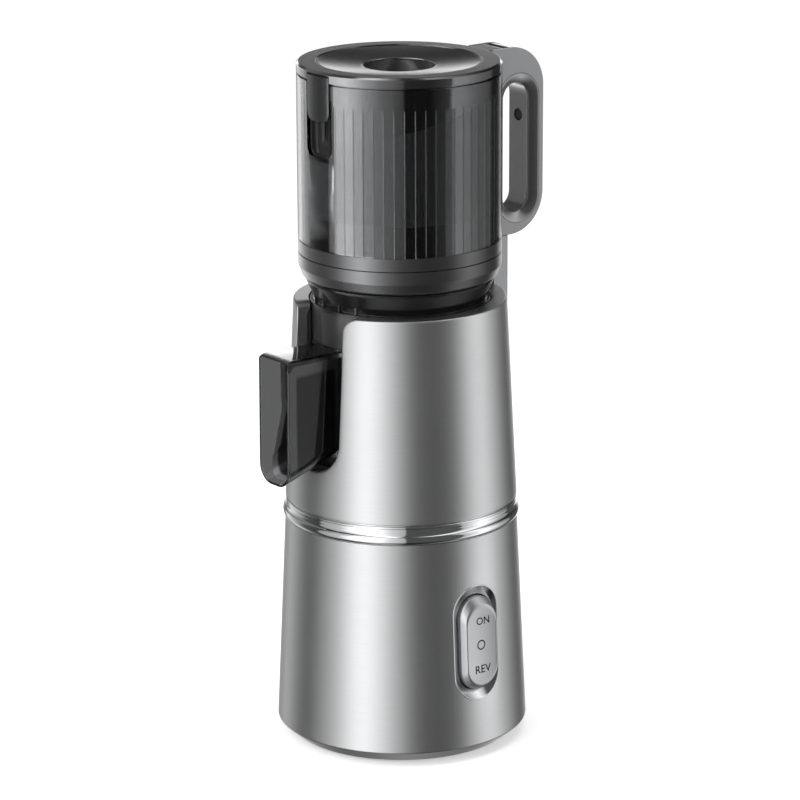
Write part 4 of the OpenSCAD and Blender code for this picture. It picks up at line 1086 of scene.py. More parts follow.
class JUICER_OT_lid(bpy.types.Operator):
    """Make the lid's ring, its dished disc, the feed tube and the front tab"""
    bl_idname = "juicer.lid"
    bl_label = "Lid"

    feed_r = 22.5 * MM
    tube_r = feed_r + 2.3 * MM
    floor_top = LID_FLOOR_Z + 2.5 * MM
    # Radius of the hollow sphere that the disc's top is part of
    sphere_r = 380 * MM
    # The recess for the tab: its side, top and foot gaps, its depth and its reach past the ring
    tab_gap, tab_top_gap, recess_under = 0.55 * MM, 1.3 * MM, 1 * MM
    recess_deep, recess_past = 2.6 * MM, 2 * MM
    tab_wall, tab_edge = 2.2 * MM, 0.35 * MM
    # Gap between the feed tube and the disc
    feed_gap = 0.1 * MM

    def execute(self, context):
        lid = mesh_object("lid_rim", [lathe(self.ring_section(), FINE_SIDES)])
        tab = high("latch_tab")
        reach = tab.x + self.tab_gap
        recess = box_outline(-reach, LID_Z - self.recess_under, reach, tab.z + self.tab_top_gap)
        cut_away(lid, prism("tab_cutter", recess, rear_place,
                            self.recess_deep - HOPPER_R, -self.recess_past - HOPPER_R))
        finish_piece(lid, "lid", "gloss_graphite", ("lid_ring",))
        under_z = self.disc()
        self.feed(under_z - self.feed_gap)
        self.tab()
        return {"FINISHED"}

    def ring_section(self):
        """The ring's corners: its floor, the seam over the hopper, the rim and the disc's seat."""
        edge, chamfer, seam = 0.6 * MM, 1.4 * MM, 0.7 * MM
        skirt_r, seam_r, seat_r = HOPPER_R - 3.3 * MM, HOPPER_R - 1.8 * MM, DISH_R + 0.2 * MM
        return rounded(
            [(self.tube_r, LID_FLOOR_Z), (skirt_r, LID_FLOOR_Z), (skirt_r, LID_Z), (seam_r, LID_Z),
             (seam_r, LID_Z + seam), (HOPPER_R, LID_Z + seam), (HOPPER_R, LID_TOP_Z - chamfer),
             (HOPPER_R - chamfer, LID_TOP_Z), (seat_r, LID_TOP_Z), (seat_r, self.floor_top),
             (self.tube_r, self.floor_top)],
            edge * np.array([0, 0, 0, 0, 0, 0.4, 1, 1, 0.6, 0, 0]))

    def disc(self):
        """The disc's top is part of a hollow sphere, whose lowest point is on the axis.

        Returns the height of its underside beside the hole.
        """
        edge, thickness, rim_height = 0.35 * MM, 1.1 * MM, 1.8 * MM
        top_z = high("lid_dish").z
        centre_z = top_z + math.sqrt(self.sphere_r ** 2 - DISH_R ** 2)
        radii = np.linspace(DISH_R - edge, self.feed_r + edge, 24)
        bowl = np.stack([radii, centre_z - np.sqrt(self.sphere_r ** 2 - radii ** 2)], axis=1)
        inner_z = bowl[-1, 1]
        under_z, rim_foot_z = inner_z - thickness, top_z - rim_height
        profile = np.concatenate([
            arc((DISH_R - edge, top_z - edge), edge, 0, 80, 3),
            bowl[1:-1],
            arc((self.feed_r + edge, inner_z - edge), edge, 100, 180, 3),
            [(self.feed_r, under_z), (self.tube_r, under_z)],
            [(DISH_R - edge, rim_foot_z), (DISH_R, rim_foot_z)]])
        disc = creased(mesh_object("lid_disc", [lathe(profile, FINE_SIDES)]))
        finish_piece(disc, "lid", "turned_dish", ("lid_dish",))
        return under_z

    def feed(self, top_z):
        """The feed tube, which reaches up to the disc and has a flange on the lid's floor."""
        edge, tube_r, floor_top = 0.7 * MM, self.tube_r, self.floor_top
        bore_r, flange_r = self.feed_r - 0.1 * MM, high("feed_tube").x
        foot_z, flange_z = low("feed_tube").z, floor_top + 1.5 * MM
        outline = rounded(
            [(bore_r, foot_z), (tube_r, foot_z), (tube_r, floor_top), (flange_r, floor_top),
             (flange_r, flange_z), (tube_r, flange_z), (tube_r, top_z), (bore_r, top_z)],
            [edge, edge, 0, 0, 0, 0, 0, 0])
        tube = mesh_object("feed_chute", [lathe(outline)])
        finish_piece(tube, "lid", "gloss_black", ("feed_tube",))

    def tab(self):
        """The tab: rows across from side to side on the lid's cylinder, narrowing round its foot."""
        foot, top = low("latch_tab"), high("latch_tab")
        corner, straight_rows, columns = 6 * MM, 13, 21
        side = arc((top.x - corner, foot.z + corner), corner, -90, 0, 10)
        straight = np.linspace(foot.z + corner, top.z, straight_rows + 1)[1:]
        heights = np.concatenate([side[:, 1], straight])
        halves = np.concatenate([side[:, 0], np.full(straight_rows, top.x)])
        turns = np.arcsin(halves[:, None] * np.linspace(-1, 1, columns) / HOPPER_R)
        points = np.stack([HOPPER_R * np.sin(turns), -HOPPER_R * np.cos(turns),
                           np.broadcast_to(heights[:, None], turns.shape)], axis=-1)
        tab = solidified(mesh_object("lid_tab", [grid(points)]), self.tab_wall)
        finish_piece(bevelled(tab, self.tab_edge), "lid", "gloss_graphite", ("latch_tab",))


# --- Handle ---

class JUICER_OT_handle(bpy.types.Operator):
    """Make the two side plates of the handle and the lining of its opening"""
    bl_idname = "juicer.handle"
    bl_label = "Handle plates and grip"

    plate_wall = 1.8 * MM
    plate_points = 400

    def execute(self, context):
        foot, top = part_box("grip_liner")
        width, height = top.y - foot.y, top.z - foot.z
        middle = np.array([(foot.y + top.y) / 2, (foot.z + top.z) / 2])
        loops = [resampled(loop, self.plate_points)
                 for loop in (self.outline(), stadium(width, height) + middle)]
        loops = [np.roll(loop, -self.start(loop, middle), axis=0) for loop in loops]
        face_x = high("handle_plates").x
        for name, side in (("handle_side_right", 1), ("handle_side_left", -1)):
            points = self.plate(loops, face_x, side)
            plate = mesh_object(name, [grid(points, wrap_rows=True, wrap_cols=True, flip=side > 0)])
            creased(plate)
            finish_piece(plate, "hopper_unit", "handle_paint", ("handle_plates",))
        self.grip(middle, width, height)
        return {"FINISHED"}

    def outline(self):
        """The plate's outer edge in (y, z), set back beside the lid so that it can swing."""
        foot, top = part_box("handle_plates")
        corner, step_round, inner_round, foot_round = 26 * MM, 0.4 * MM, 0.2 * MM, 0.6 * MM
        root_y, swing_y = HOPPER_R - 0.4 * MM, HOPPER_R + 1.1 * MM
        return rounded(
            [(top.y, foot.z), (top.y, top.z), (swing_y, top.z), (swing_y, HOPPER_TOP_Z),
             (root_y, HOPPER_TOP_Z), (root_y, foot.z)],
            [corner, corner, step_round, inner_round, inner_round, foot_round], steps=24)

    def grip(self, middle, width, height):
        """The grip's lining: loops across its width, with a flat crown and a steep side each way."""
        half_w = high("grip_liner").x
        crown, rim, back = 6.6 * MM, 1.0 * MM, 0.15 * MM
        crown_half, soft = half_w - 3.2 * MM, 1.2 * MM
        across = rounded(
            [(half_w, rim), (crown_half, crown), (-crown_half, crown), (-half_w, rim),
             (-half_w, back), (half_w, back)],
            [0, soft, soft, 0, 0, 0])
        loops = []
        for x, inset in across:
            outline = stadium(width, height, inset, 32) + middle
            loops.append(np.column_stack([np.full(len(outline), x), outline]))
        lining = mesh_object("grip_lining", [grid(np.stack(loops), wrap_rows=True, wrap_cols=True)])
        plug_low, plug_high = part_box("grip_plug")
        seat_r = plug_high.x + 0.3 * MM
        seat = arc((0, (plug_low.z + plug_high.z) / 2), seat_r, 0, 360, 40)[:-1]
        near, far = plug_low.y - 3 * MM, plug_high.y + 0.1 * MM
        cut_away(lining, prism("plug_cutter", seat, rear_place, near, far))
        finish_piece(lining, "hopper_unit", "grip_plastic", ("grip_liner",))

    def start(self, loop, middle):
        """Index of the loop's point straight to the right of the middle."""
        reach = loop - middle
        return int(np.argmin(np.abs(np.arctan2(reach[:, 1], reach[:, 0]))))

    def plate(self, loops, face_x, side):
        """A ring between the two loops, whose edges round off towards its outer face.

        Each row is a loop, how far it moves in and its depth under the face.
        """
        outer, inner = loops
        edge = 0.5 * MM
        turns = np.radians(np.linspace(0, 90, EDGE_STEPS + 1))
        arcs = [(edge * (1 - math.cos(a)), edge * (1 - math.sin(a))) for a in turns]
        rows = [(outer, 0.0, self.plate_wall)]
        rows += [(outer, inset, depth) for inset, depth in arcs]
        rows += [(outer, edge + GUARD, 0.0), (inner, -edge - GUARD, 0.0)]
        rows += [(inner, -inset, depth) for inset, depth in arcs[::-1]]
        rows += [(inner, 0.0, self.plate_wall)]
        return np.stack([
            np.column_stack([np.full(len(loop), side * (face_x - depth)), inset_loop(loop, inset)])
            for loop, inset, depth in rows])


# --- Spout ---

class JUICER_OT_spout(bpy.types.Operator):
    """Make the clear spout: a U-shaped channel with a flat top, an open front and a dark lining"""
    bl_idname = "juicer.spout"
    bl_label = "Spout"

    wall = 2.0 * MM
    lining_wall, lining_edge = 0.8 * MM, 0.25 * MM
    # The lining's gap to the shell, and how much lower than the shell it ends
    lining_gap, lining_drop = 0.12 * MM, 1.5 * MM
    corner = 12 * MM
    top_corner = 3 * MM
    # Radius that rounds the top's front edge back
    nose = 5 * MM
    # Fall of the underside per length
    fall = math.tan(math.radians(19))
    # The shell ends this far outside the bowl
    bowl_gap = 1.8 * MM

    def execute(self, context):
        """The shell's rings run from the bowl over the front edge and back along the inside."""
        edge = 0.7 * MM
        along = np.linspace(1, 0.02, 16)
        rows = [self.ring(0.0, edge, share) for share in along]
        rows += [self.ring(depth, inset, 0) for inset, depth in edge_profile(edge, edge, self.wall)]
        rows += [self.ring(self.wall, edge, share) for share in along[::-1]]
        spout = mesh_object("spout_shell", [grid(np.stack(rows), wrap_rows=True, wrap_cols=True)])
        creased(spout, 60)
        finish_piece(spout, "bowl", "spout_plastic", ("juice_spout",))
        self.lining()
        return {"FINISHED"}

    def floor(self, y):
        """Height of the spout's underside, which falls in a straight line towards the front."""
        foot = low("juice_spout")
        return foot.z + (y - foot.y) * self.fall

    def bowl_y(self, x):
        """Where the spout ends at x, on a circle just outside the bowl."""
        return -np.sqrt((BOWL_R + self.bowl_gap) ** 2 - x ** 2)

    def ring(self, inset, start, share):
        """One section, moved in by inset, at a share of the way from its start to the bowl."""
        front, top = low("juice_spout").y, high("juice_spout").z
        half = high("juice_spout").x - inset
        corner, upper = self.corner - inset, self.top_corner - inset
        bottom = np.concatenate([arc((corner - half, corner), corner, 180, 270, 12),
                                 arc((half - corner, corner), corner, 270, 360, 12)])
        ceiling = np.concatenate([arc((half - upper, -upper), upper, 0, 90, 6),
                                  arc((upper - half, -upper), upper, 90, 180, 6)])
        x = np.concatenate([bottom[:, 0], ceiling[:, 0]])
        over = np.clip(ceiling[:, 1] + self.nose - inset, 0, self.nose)
        rounding = self.nose - np.sqrt(self.nose ** 2 - over ** 2)
        y_front = front + start + np.concatenate([np.zeros(len(bottom)), rounding])
        y = y_front + (self.bowl_y(x) - y_front) * share
        floor = self.floor(y[:len(bottom)]) + inset
        z = np.concatenate([floor + bottom[:, 1], top - inset + ceiling[:, 1]])
        return np.stack([x, y, z], axis=1)

    def lining(self):
        """The channel's dark lining: a bent sheet just inside the shell.

        Across, it runs down the far side, over the bottom's two arcs and up the near side. A
        point's height over the floor is its arc's, plus its share of the side's straight length.
        """
        inset = self.wall + self.lining_gap
        front, top = low("juice_spout").y, high("juice_spout").z - inset - self.lining_drop
        half = high("juice_spout").x - inset
        corner = self.corner - inset
        rise = np.linspace(1, 0, 16)
        bend = np.radians(np.linspace(90, 0, 12))
        arc_x, arc_z = half - corner + corner * np.sin(bend), corner * (1 - np.cos(bend))
        side_x, side_z = np.full(len(rise), half), np.full(len(rise), corner)
        x = np.concatenate([-side_x, -arc_x, arc_x[::-1], side_x])
        heights = np.concatenate([side_z, arc_z, arc_z[::-1], side_z])
        shares = np.concatenate([rise, np.zeros(2 * len(bend)), rise[::-1]])
        start = front + self.lining_start(rise, len(bend))
        rows = []
        for share in np.linspace(0, 0.98, 14):
            y = start + (self.bowl_y(x) - start) * share
            floor = self.floor(y) + inset
            rows.append(np.stack([x, y, floor + heights + (top - floor - corner) * shares], axis=1))
        lining = mesh_object("spout_lining", [grid(np.stack(rows))])
        bevelled(solidified(lining, self.lining_wall), self.lining_edge)
        finish_piece(lining, "bowl", "lining_gloss")

    def lining_start(self, rise, bend_count):
        """How far behind the front the lining starts, across it from the far to the near side.

        The near side starts close behind the front and is rounded at its top. The far side
        starts further back, and its edge slopes down towards the front.
        """
        near, bottom, far = 1.8 * MM, 4 * MM, 9 * MM
        near_round, side_length = 4 * MM, 70 * MM
        over = np.clip((rise - 1) * side_length + near_round, 0, near_round)
        near_side = near + near_round - np.sqrt(near_round ** 2 - over ** 2)
        far_side = np.interp(rise, [0, 0.45, 0.5, 1], [10 * MM, 17 * MM, 16 * MM, 16 * MM])
        return np.concatenate([
            far_side, np.linspace(far, bottom, bend_count), np.linspace(bottom, near, bend_count),
            near_side[::-1]])


# --- Switch ---

# Width and height of the knob at its skirt and at its face, and the face's height
KNOB_OUTLINE = (27.4 * MM, 60.6 * MM)
KNOB_FACE = (23.0 * MM, 49.0 * MM)
KNOB_OUT = 4.5 * MM
# How far the face sits below the middle of the skirt
FACE_DROP = 1.2 * MM
# The knob's middle lies this far from its hinge, outwards and to the side
HINGE_OUT, HINGE_ASIDE = 4.5 * MM, 0.5 * MM


def switch_frame():
    """The rocker's face: its centre, its level axis, its upright axis and its outward axis."""
    hinge = next(j for j in frame["joints"] if j["name"] == "switch_tilt")
    lean = math.atan((BASE_R - BASE_TOP_R) / (RING_Z - BEVEL_Z))
    outward = np.array([math.cos(lean), 0, math.sin(lean)])
    upright = np.array([-math.sin(lean), 0, math.cos(lean)])
    level = np.array([0.0, 1.0, 0.0])
    centre = np.array(hinge["pos_m"]) + HINGE_OUT * outward + HINGE_ASIDE * level
    return centre, level, upright, outward


def switch_place(outline, height):
    """Puts a flat (level, upright) outline at a height above the rocker's face."""
    centre, level, upright, outward = switch_frame()
    height = np.broadcast_to(height, len(outline))
    return centre + outline[:, :1] * level + outline[:, 1:] * upright + height[:, None] * outward


def switch_height():
    """Height of the bezel along the housing's wall."""
    return high("switch_bezel").z - low("switch_bezel").z + 1.2 * MM


def switch_width():
    """Width of the bezel across the housing's wall."""
    return 2 * high("switch_bezel").y - 1.0 * MM


def fill_ends(work):
    """Closes the open ends of a stack of rings."""
    bmesh.ops.holes_fill(work, edges=work.edges, sides=0)


class JUICER_OT_switch(bpy.types.Operator):
    """Make the polished bezel, the rocker's knob and its lettering"""
    bl_idname = "juicer.switch"
    bl_label = "Rocker switch"

    bezel_wall = 0.5 * MM
    # Gap between the knob and the bezel
    knob_gap = 0.6 * MM
    # The lettering lies this far under the face's highest place, and is this thick
    ink_drop, ink_thickness = 0.14 * MM, 0.04 * MM
    # Each word's piece, its text, its share of the letter height, and its place aside and up
    words = (("mark_on", "ON", 1.0, 1.1 * MM, 14.9 * MM),
             ("mark_reverse", "REV", 1.09, 0, -16.5 * MM))
    # Height of the font's capitals as a share of its size, and how much bolder it is made
    capital_share, bolder = 0.7, 0.015
    # The stop mark's middle, its radius and half the width of its line
    stop_aside, stop_up, stop_r, stop_line = -0.8 * MM, -0.4 * MM, 2.8 * MM, 0.4 * MM

    def execute(self, context):
        self.bezel(switch_width(), switch_height())
        self.knob()
        face = KNOB_OUT - self.ink_drop
        for name, text, share, aside, up in self.words:
            self.lettering(name, text, share * sizes().letter_height, (aside, up, face))
        self.stop_mark(face)
        return {"FINISHED"}

    def bezel(self, width, height):
        """Stadium rings: the outer ones follow the housing's curve, the inner ones lie flat.

        Each layer is a width, a height and a depth in millimetres, and a share of the housing's
        curve. The layers run from the outer wall over the rim and down the slope into the gap.
        The first ones are measured from the bezel's own size, the last ones from the gap's.
        """
        radius = (BASE_R + BASE_TOP_R) / 2
        gap_w, gap_h = (length + 2 * self.knob_gap for length in KNOB_OUTLINE)
        rim = [(0, 0, -4.0, 1), (0, 0, -0.2, 1), (-0.2, -0.2, 0.2, 1), (-0.6, -0.6, 0.35, 1),
               (-1.3, -1.3, 0.35, 1), (-1.8, -1.8, 0.15, 1), (-2.2, -2.4, -0.3, 0.9)]
        slope = [(1.0, 1.4, -2.1, 0.2), (0.3, 0.4, -2.6, 0.1), (0, 0, -3.4, 0), (0, 0, -8.0, 0)]
        layers = [(width, height, *layer) for layer in rim]
        layers += [(gap_w, gap_h, *layer) for layer in slope]
        rings = []
        for base_w, base_h, more_w, more_h, depth, follow in layers:
            outline = stadium(base_w + more_w * MM, base_h + more_h * MM, steps=32)
            curve = radius - np.sqrt(radius ** 2 - outline[:, 0] ** 2)
            rings.append(switch_place(outline, depth * MM - follow * curve))
        bezel = mesh_object("switch_surround", [grid(np.stack(rings), wrap_cols=True)])
        solidified(bezel, self.bezel_wall)
        finish_piece(bezel, "housing", "bezel_metal", ("switch_bezel",))

    def knob(self):
        """Stacked stadiums: an upright skirt, a flank that leans in and a slightly hollow face.

        Each layer is a share of the way from the outline to the face and a height. The share is
        0 at the flank's foot and 1 at the face, and the flank's edge there is an arc.
        """
        outline, face = np.array(KNOB_OUTLINE), np.array(KNOB_FACE)
        edge, edge_share = 1.1 * MM, 0.45
        layers = [(0.0, -7.0 * MM), (0.0, -0.3 * MM), (0.02, 0.2 * MM), (0.09, 0.6 * MM)]
        turns = np.radians(np.linspace(25, 90, 8))
        layers += [(1 - edge_share * math.cos(a), KNOB_OUT - edge * (1 - math.sin(a))) for a in turns]
        layers += [(1.05, KNOB_OUT - 0.01 * MM), (1.2, KNOB_OUT - 0.12 * MM)]
        rings = []
        for share, height in layers:
            width, length = outline + (face - outline) * share
            loop = stadium(width, length, steps=32) - np.array([0, FACE_DROP * min(share, 1)])
            rings.append(switch_place(loop, height))
        knob = mesh_object("rocker_cap", [grid(np.stack(rings), wrap_cols=True)])
        edit_mesh(knob.data, fill_ends)
        creased(knob)
        finish_piece(knob, "rocker", "knob_metal", ("rocker_knob",))

    def lettering(self, name, text, height, place):
        """A word as thin ink, at (level, upright, outward) from the middle of the knob."""
        curve = bpy.data.curves.new(name, "FONT")
        curve.body = text
        curve.align_x = "CENTER"
        curve.align_y = "CENTER"
        curve.size = height / self.capital_share
        curve.offset = self.bolder * sizes().letter_height
        curve.extrude = self.ink_thickness
        curve.space_character = 1.02
        letters = linked(name, curve)
        depsgraph = bpy.context.evaluated_depsgraph_get()
        mesh = bpy.data.meshes.new_from_object(letters.evaluated_get(depsgraph))
        bpy.data.objects.remove(letters)
        centre, *axes = switch_frame()
        turn = Matrix(axes).transposed().to_4x4()
        turn.translation = centre + np.array(place) @ np.array(axes)
        mesh.transform(turn)
        finish_piece(linked(name, mesh), "rocker", "switch_ink")

    def stop_mark(self, face):
        """The ring that marks the stop, as a band of ink with two short walls."""
        rise = 0.05 * MM
        rings = []
        for side, height in ((-1, 0), (-1, rise), (1, rise), (1, 0)):
            radius = self.stop_r + side * self.stop_line
            circle = arc((self.stop_aside, self.stop_up), radius, 0, 360, 48)[:-1]
            rings.append(switch_place(circle, face + height))
        band = grid(np.stack(rings), wrap_rows=True, wrap_cols=True, flip=True)
        mark = mesh_object("mark_stop", [band], smooth=False)
        finish_piece(mark, "rocker", "switch_ink")


# --- Stage ---

CAMERA_PLACE = (1.7462, -1.3642, 0.8498)
CAMERA_TURN = math.radians(52.0125)
CAMERA_DROP = math.radians(15.936)
CAMERA_ROLL = math.radians(-0.2564)
CAMERA_LENS = 164.08
# Turn of the line from the object to the camera, about the Z axis
CAMERA_SIDE = CAMERA_TURN - math.pi / 2

# Height that lamps and panels are turned about
STUDIO_MIDDLE = 0.25
# Light of the world on the object, where the background itself is 1
WORLD_LIGHT = 0.62
FLOOR_REACH = 9.0
FLOOR_COLOUR = (0.86, 0.86, 0.86, 1)
FLOOR_ROUGHNESS = 0.9
# Light that the camera sees the floor give
FLOOR_GLOW = 0.42
# Lamps: turn from the camera and rise in degrees, distance and size in metres, and power in watts
LAMPS = {"lamp_front": (-55, 40, 1.6, 1.2, 14), "lamp_top": (150, 75, 1.7, 1.5, 12)}
# Radius of the outermost ball of panels, and how much smaller each further one is
BALL_REACH, BALL_STEP = 2.2, 0.05
# Turns and rises of a ball's vertices, in degrees
BALL_TURNS = np.arange(-180, 180, 0.5)
BALL_RISES = np.linspace(-89.5, 89.5, 120)


def studio_direction(turns, rises):
    """Unit vectors at turns from the camera's side and rises, both in degrees."""
    angle, rise = CAMERA_SIDE + np.radians(turns), np.radians(rises)
    return np.stack([np.cos(angle) * np.cos(rise), np.sin(angle) * np.cos(rise), np.sin(rise)], axis=-1)


class JUICER_OT_stage(bpy.types.Operator):
    """Make the camera, the floor, the lamps and the reflected panels of the studio"""
    bl_idname = "juicer.stage"
    bl_label = "Studio stage"

    def execute(self, context):
        """Each ball of panels is linked to the pieces whose finish reflects its set."""
        scene = context.scene
        scene.view_settings.view_transform = "Standard"
        self.camera(scene)
        self.world(scene)
        self.floor()
        self.lamps()
        pieces = [thing for thing in scene.objects if thing.type == "MESH" and thing.name != "floor"]
        for i, name in enumerate(PANEL_SETS):
            receivers = bpy.data.collections.new(f"reflects_{name}")
            for piece in pieces:
                if name in panel_sets(piece):
                    receivers.objects.link(piece)
            ball = self.tent(name, BALL_REACH - BALL_STEP * i, outermost=i == 0)
            ball.light_linking.receiver_collection = receivers
        return {"FINISHED"}

    def camera(self, scene):
        """The camera: turned about Z, then tipped down, then rolled."""
        data = bpy.data.cameras.new("camera")
        data.lens = CAMERA_LENS
        camera = linked("camera", data)
        turn = (Matrix.Rotation(CAMERA_TURN, 4, "Z")
                @ Matrix.Rotation(math.pi / 2 - CAMERA_DROP, 4, "X")
                @ Matrix.Rotation(CAMERA_ROLL, 4, "Z"))
        camera.matrix_world = Matrix.Translation(CAMERA_PLACE) @ turn
        scene.camera = camera

    def world(self, scene):
        """White to the camera, to gloss and through clear plastic, and a plain grey as light."""
        world = bpy.data.worlds.new("studio")
        scene.world = world
        world.use_nodes = True
        tree = world.node_tree
        background = tree.nodes["Background"]
        background.inputs["Color"].default_value = (1, 1, 1, 1)
        paths = add(tree, "ShaderNodeLightPath").outputs
        seen = math_node(tree, "MAXIMUM", paths["Is Camera Ray"], paths["Is Glossy Ray"])
        seen = math_node(tree, "MAXIMUM", seen, paths["Is Transmission Ray"])
        more = math_node(tree, "MULTIPLY", seen, 1 - WORLD_LIGHT)
        strength = math_node(tree, "ADD", more, WORLD_LIGHT)
        tree.links.new(strength, background.inputs["Strength"])

    def floor(self):
        """A plain pale floor that is white to the camera and keeps the object's shadow."""
        x, y = np.meshgrid([-FLOOR_REACH, FLOOR_REACH], [-FLOOR_REACH, FLOOR_REACH])
        floor = mesh_object("floor", [grid(np.stack([x, y, np.zeros_like(x)], axis=-1))])
        material, tree, shader = node_material("studio_floor")
        shader.inputs["Base Color"].default_value = FLOOR_COLOUR
        shader.inputs["Roughness"].default_value = FLOOR_ROUGHNESS
        shader.inputs["Emission Color"].default_value = (1, 1, 1, 1)
        paths = add(tree, "ShaderNodeLightPath")
        glow = math_node(tree, "MULTIPLY", paths.outputs["Is Camera Ray"], FLOOR_GLOW)
        tree.links.new(glow, shader.inputs["Emission Strength"])
        floor.data.materials.append(material)
        floor.visible_glossy = False
        floor.visible_transmission = False

    def lamps(self):
        """Two soft lamps: one high at the front left, one above. Gloss shows only the panels."""
        for name, (turn, rise, reach, size, energy) in LAMPS.items():
            data = bpy.data.lights.new(name, "AREA")
            data.energy = energy
            data.size = size
            lamp = linked(name, data)
            place = Vector(studio_direction(turn, rise)) * reach
            lamp.location = place + Vector((0, 0, STUDIO_MIDDLE))
            lamp.rotation_euler = place.to_track_quat("Z", "Y").to_euler()
            lamp.visible_glossy = False

    def tent(self, name, reach, outermost):
        """A ball of panels round the object, which only gloss sees, on the pieces of its own group.

        Its vertices carry the light of each direction. It lights nothing else, and all but the
        outermost let the view through.
        """
        turns, rises = np.meshgrid(BALL_TURNS, BALL_RISES)
        points = reach * studio_direction(turns, rises) + np.array([0, 0, STUDIO_MIDDLE])
        ball = mesh_object(f"studio_panels_{name}", [grid(points, wrap_cols=True, flip=True)])
        light = panel_light(turns, rises, *PANEL_SETS[name]).ravel()
        layer = ball.data.attributes.new("light", "FLOAT", "POINT")
        layer.data.foreach_set("value", light.astype(np.float32))
        ball.data.materials.append(self.panel_material(name, outermost))
        ball.visible_camera = False
        ball.visible_diffuse = False
        ball.visible_transmission = outermost
        ball.visible_shadow = False
        ball.visible_volume_scatter = False
        return ball

    def panel_material(self, name, outermost):
        """A glow of the light that the vertices carry, which adds to what lies behind it."""
        material, tree, _shader = node_material(f"studio_panels_{name}")
        tree.nodes.clear()
        value = add(tree, "ShaderNodeAttribute", attribute_name="light")
        light = add(tree, "ShaderNodeEmission", {"Strength": value.outputs["Fac"]}).outputs[0]
        if not outermost:
            clear = add(tree, "ShaderNodeBsdfTransparent")
            light = add(tree, "ShaderNodeAddShader", {0: light, 1: clear.outputs[0]}).outputs[0]
        add(tree, "ShaderNodeOutputMaterial", {"Surface": light})
        return material


def panel_sets(piece):
    """Names of the panel sets that a piece reflects, from its finish."""
    name = piece.data.materials[0].name if piece.data.materials else ""
    return FINISH_PANELS.get(name, {"silver"})


def soft_step(value, edge, width):
    """0 below an edge and 1 above it, with a smooth ramp of the given width."""
    share = np.clip((value - edge) / width + 0.5, 0, 1)
    return share * share * (3 - 2 * share)


# Each set has its level panels as (turn from the camera in degrees, light), and its fade behind
# the object as (rise in degrees, share of the light). The first set's ball is the outermost, and
# what is seen through clear plastic is its light straight behind the object.
PANEL_SETS = {
    "gloss": (
        [(-180, 0.4), (-168, 0.4), (-155, 1.1), (-136, 0.9), (-123, 0.4), (-110, 0.14), (-98, 0.06),
         (-86, 0.12), (-85, 1.4), (-63, 1.9), (-50, 1.4), (-38, 0.85), (-20, 0.42), (4, 0.16),
         (6, 0.02), (35, 0.02), (60, 0.12), (61, 0.68), (77, 0.6), (101, 0.32), (124, 0.15),
         (126, 0.03), (150, 0.03), (153, 0.5), (166, 0.8), (180, 0.4)],
        [(2, 1.0), (4, 2.4), (7, 3.6), (10, 2.8), (13, 1.1), (16, 0.3), (19, 0.12), (25, 0.1),
         (30, 0.35), (40, 0.35), (60, 0.1)]),
    "silver": (
        [(-180, 2.2), (-158, 0.4), (-150, 0.2), (-138, 0.95), (-105, 0.1), (-86, 0.05), (-84, 0.35),
         (-62, 0.6), (-36, 2.15), (-10, 0.8), (4, 0.45), (5, 0.08), (60, 0.1), (61, 0.45), (86, 1.4),
         (110, 0.5), (124, 0.3), (126, 0.08), (150, 0.1), (160, 1.2), (180, 2.2)],
        [(3, 0.9), (9, 0.6), (16, 0.4), (28, 0.2), (60, 0.1)]),
    "clear": (
        [(-180, 1), (-140, 1), (-100, 0), (100, 0), (140, 1), (180, 1)],
        [(2, 0), (8, 1.2), (12, 3.2), (24, 3.2), (36, 0.8), (60, 0)]),
    "satin": (
        [(-180, 1.0), (-150, 1.4), (-125, 0.4), (-95, 0.1), (-75, 0.3), (-45, 2.3), (-20, 0.6),
         (0, 0.12), (30, 0.02), (58, 0.08), (84, 0.75), (115, 0.08), (140, 0.05), (152, 0.9),
         (180, 1.0)],
        [(0, 1.1), (9, 0.45), (16, 0.13), (23, 0.06), (60, 0.03)]),
}
# Finishes and the sets that they reflect. Every other finish reflects the silver set.
GLOSS_FINISHES = (
    "gloss_graphite", "turned_dish", "clear_smoke", "drum_smoke", "gloss_black",
    "matte_graphite", "pocket_plastic", "lining_gloss", "bowl_plastic")
FINISH_PANELS = {
    **{name: {"gloss"} for name in GLOSS_FINISHES},
    "satin_graphite": {"satin"}, "grip_plastic": {"satin"}, "spout_plastic": {"gloss", "clear"},
}

# Where the fades are, in degrees, how wide their ramps are, and what is left near the floor
BACK_TURN, BACK_RAMP = 115, 40
FLOOR_DROP, FLOOR_RAMP, FLOOR_LEFT = 42, 16, 0.25


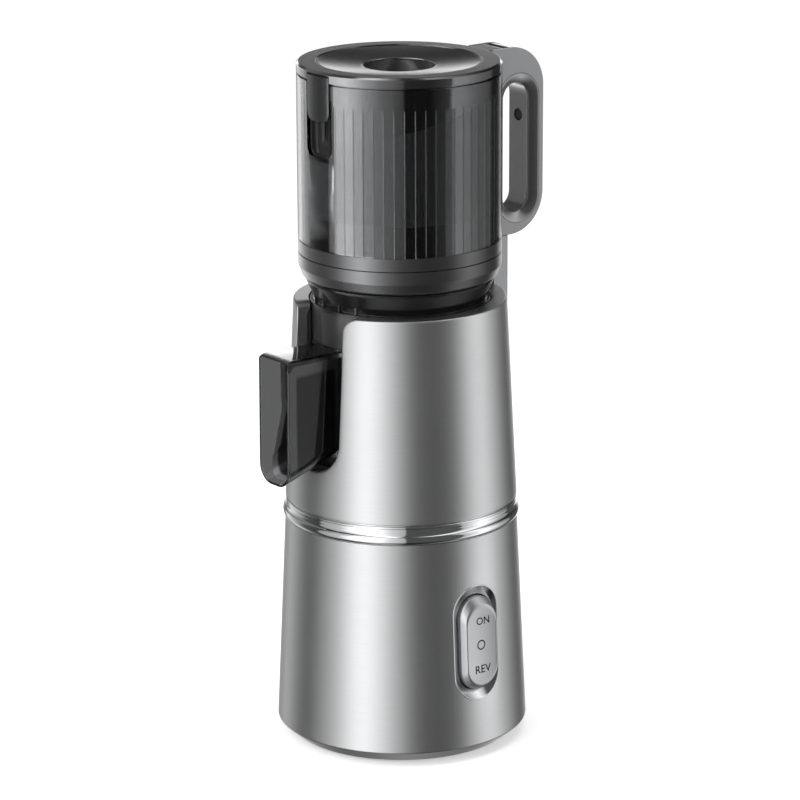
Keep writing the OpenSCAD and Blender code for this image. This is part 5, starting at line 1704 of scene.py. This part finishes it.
def panel_light(turns, rises, panels, back):
    """Light of a panel set at each turn and rise: even between two entries of its lists.

    Behind the object it fades above the horizon, so that level faces stay dark, and everywhere
    it fades towards the floor.
    """
    level = np.interp(turns, *np.array(panels).T)
    fade = np.interp(rises, *np.array(back).T)
    behind = soft_step(np.abs(turns), BACK_TURN, BACK_RAMP)
    under = soft_step(-rises, FLOOR_DROP, FLOOR_RAMP)
    return level * (1 - behind + fade * behind) * (1 - (1 - FLOOR_LEFT) * under)


# --- Panel and registration ---

OPERATORS = (JUICER_OT_carried_parts, JUICER_OT_base, JUICER_OT_ring,
             JUICER_OT_upper_housing, JUICER_OT_spout, JUICER_OT_collars, JUICER_OT_hopper,
             JUICER_OT_lid, JUICER_OT_handle, JUICER_OT_switch, JUICER_OT_stage)


class JUICER_PT_sidebar(bpy.types.Panel):
    """The juicer's sizes, colours and pieces"""
    bl_label = "Juicer"
    bl_space_type = "VIEW_3D"
    bl_region_type = "UI"
    bl_category = "Juicer"

    def draw(self, context):
        for group in (context.scene.juicer_sizes, context.scene.juicer_colours):
            box = self.layout.box()
            for name in group.__annotations__:
                box.prop(group, name)
        for operator in OPERATORS:
            self.layout.operator(operator.bl_idname)


CLASSES = (JuicerSizes, JuicerColours, *OPERATORS, JUICER_PT_sidebar)


def register():
    for cls in CLASSES:
        bpy.utils.register_class(cls)
    bpy.types.Scene.juicer_sizes = bpy.props.PointerProperty(type=JuicerSizes)
    bpy.types.Scene.juicer_colours = bpy.props.PointerProperty(type=JuicerColours)


def unregister():
    del bpy.types.Scene.juicer_colours
    del bpy.types.Scene.juicer_sizes
    for cls in reversed(CLASSES):
        bpy.utils.unregister_class(cls)


def main():
    register()
    bpy.ops.juicer.carried_parts()
    bpy.ops.juicer.base()
    bpy.ops.juicer.ring()
    bpy.ops.juicer.upper_housing()
    bpy.ops.juicer.spout()
    bpy.ops.juicer.collars()
    bpy.ops.juicer.hopper()
    bpy.ops.juicer.lid()
    bpy.ops.juicer.handle()
    bpy.ops.juicer.switch()
    bpy.ops.juicer.stage()


if __name__ == "__main__":
    main()
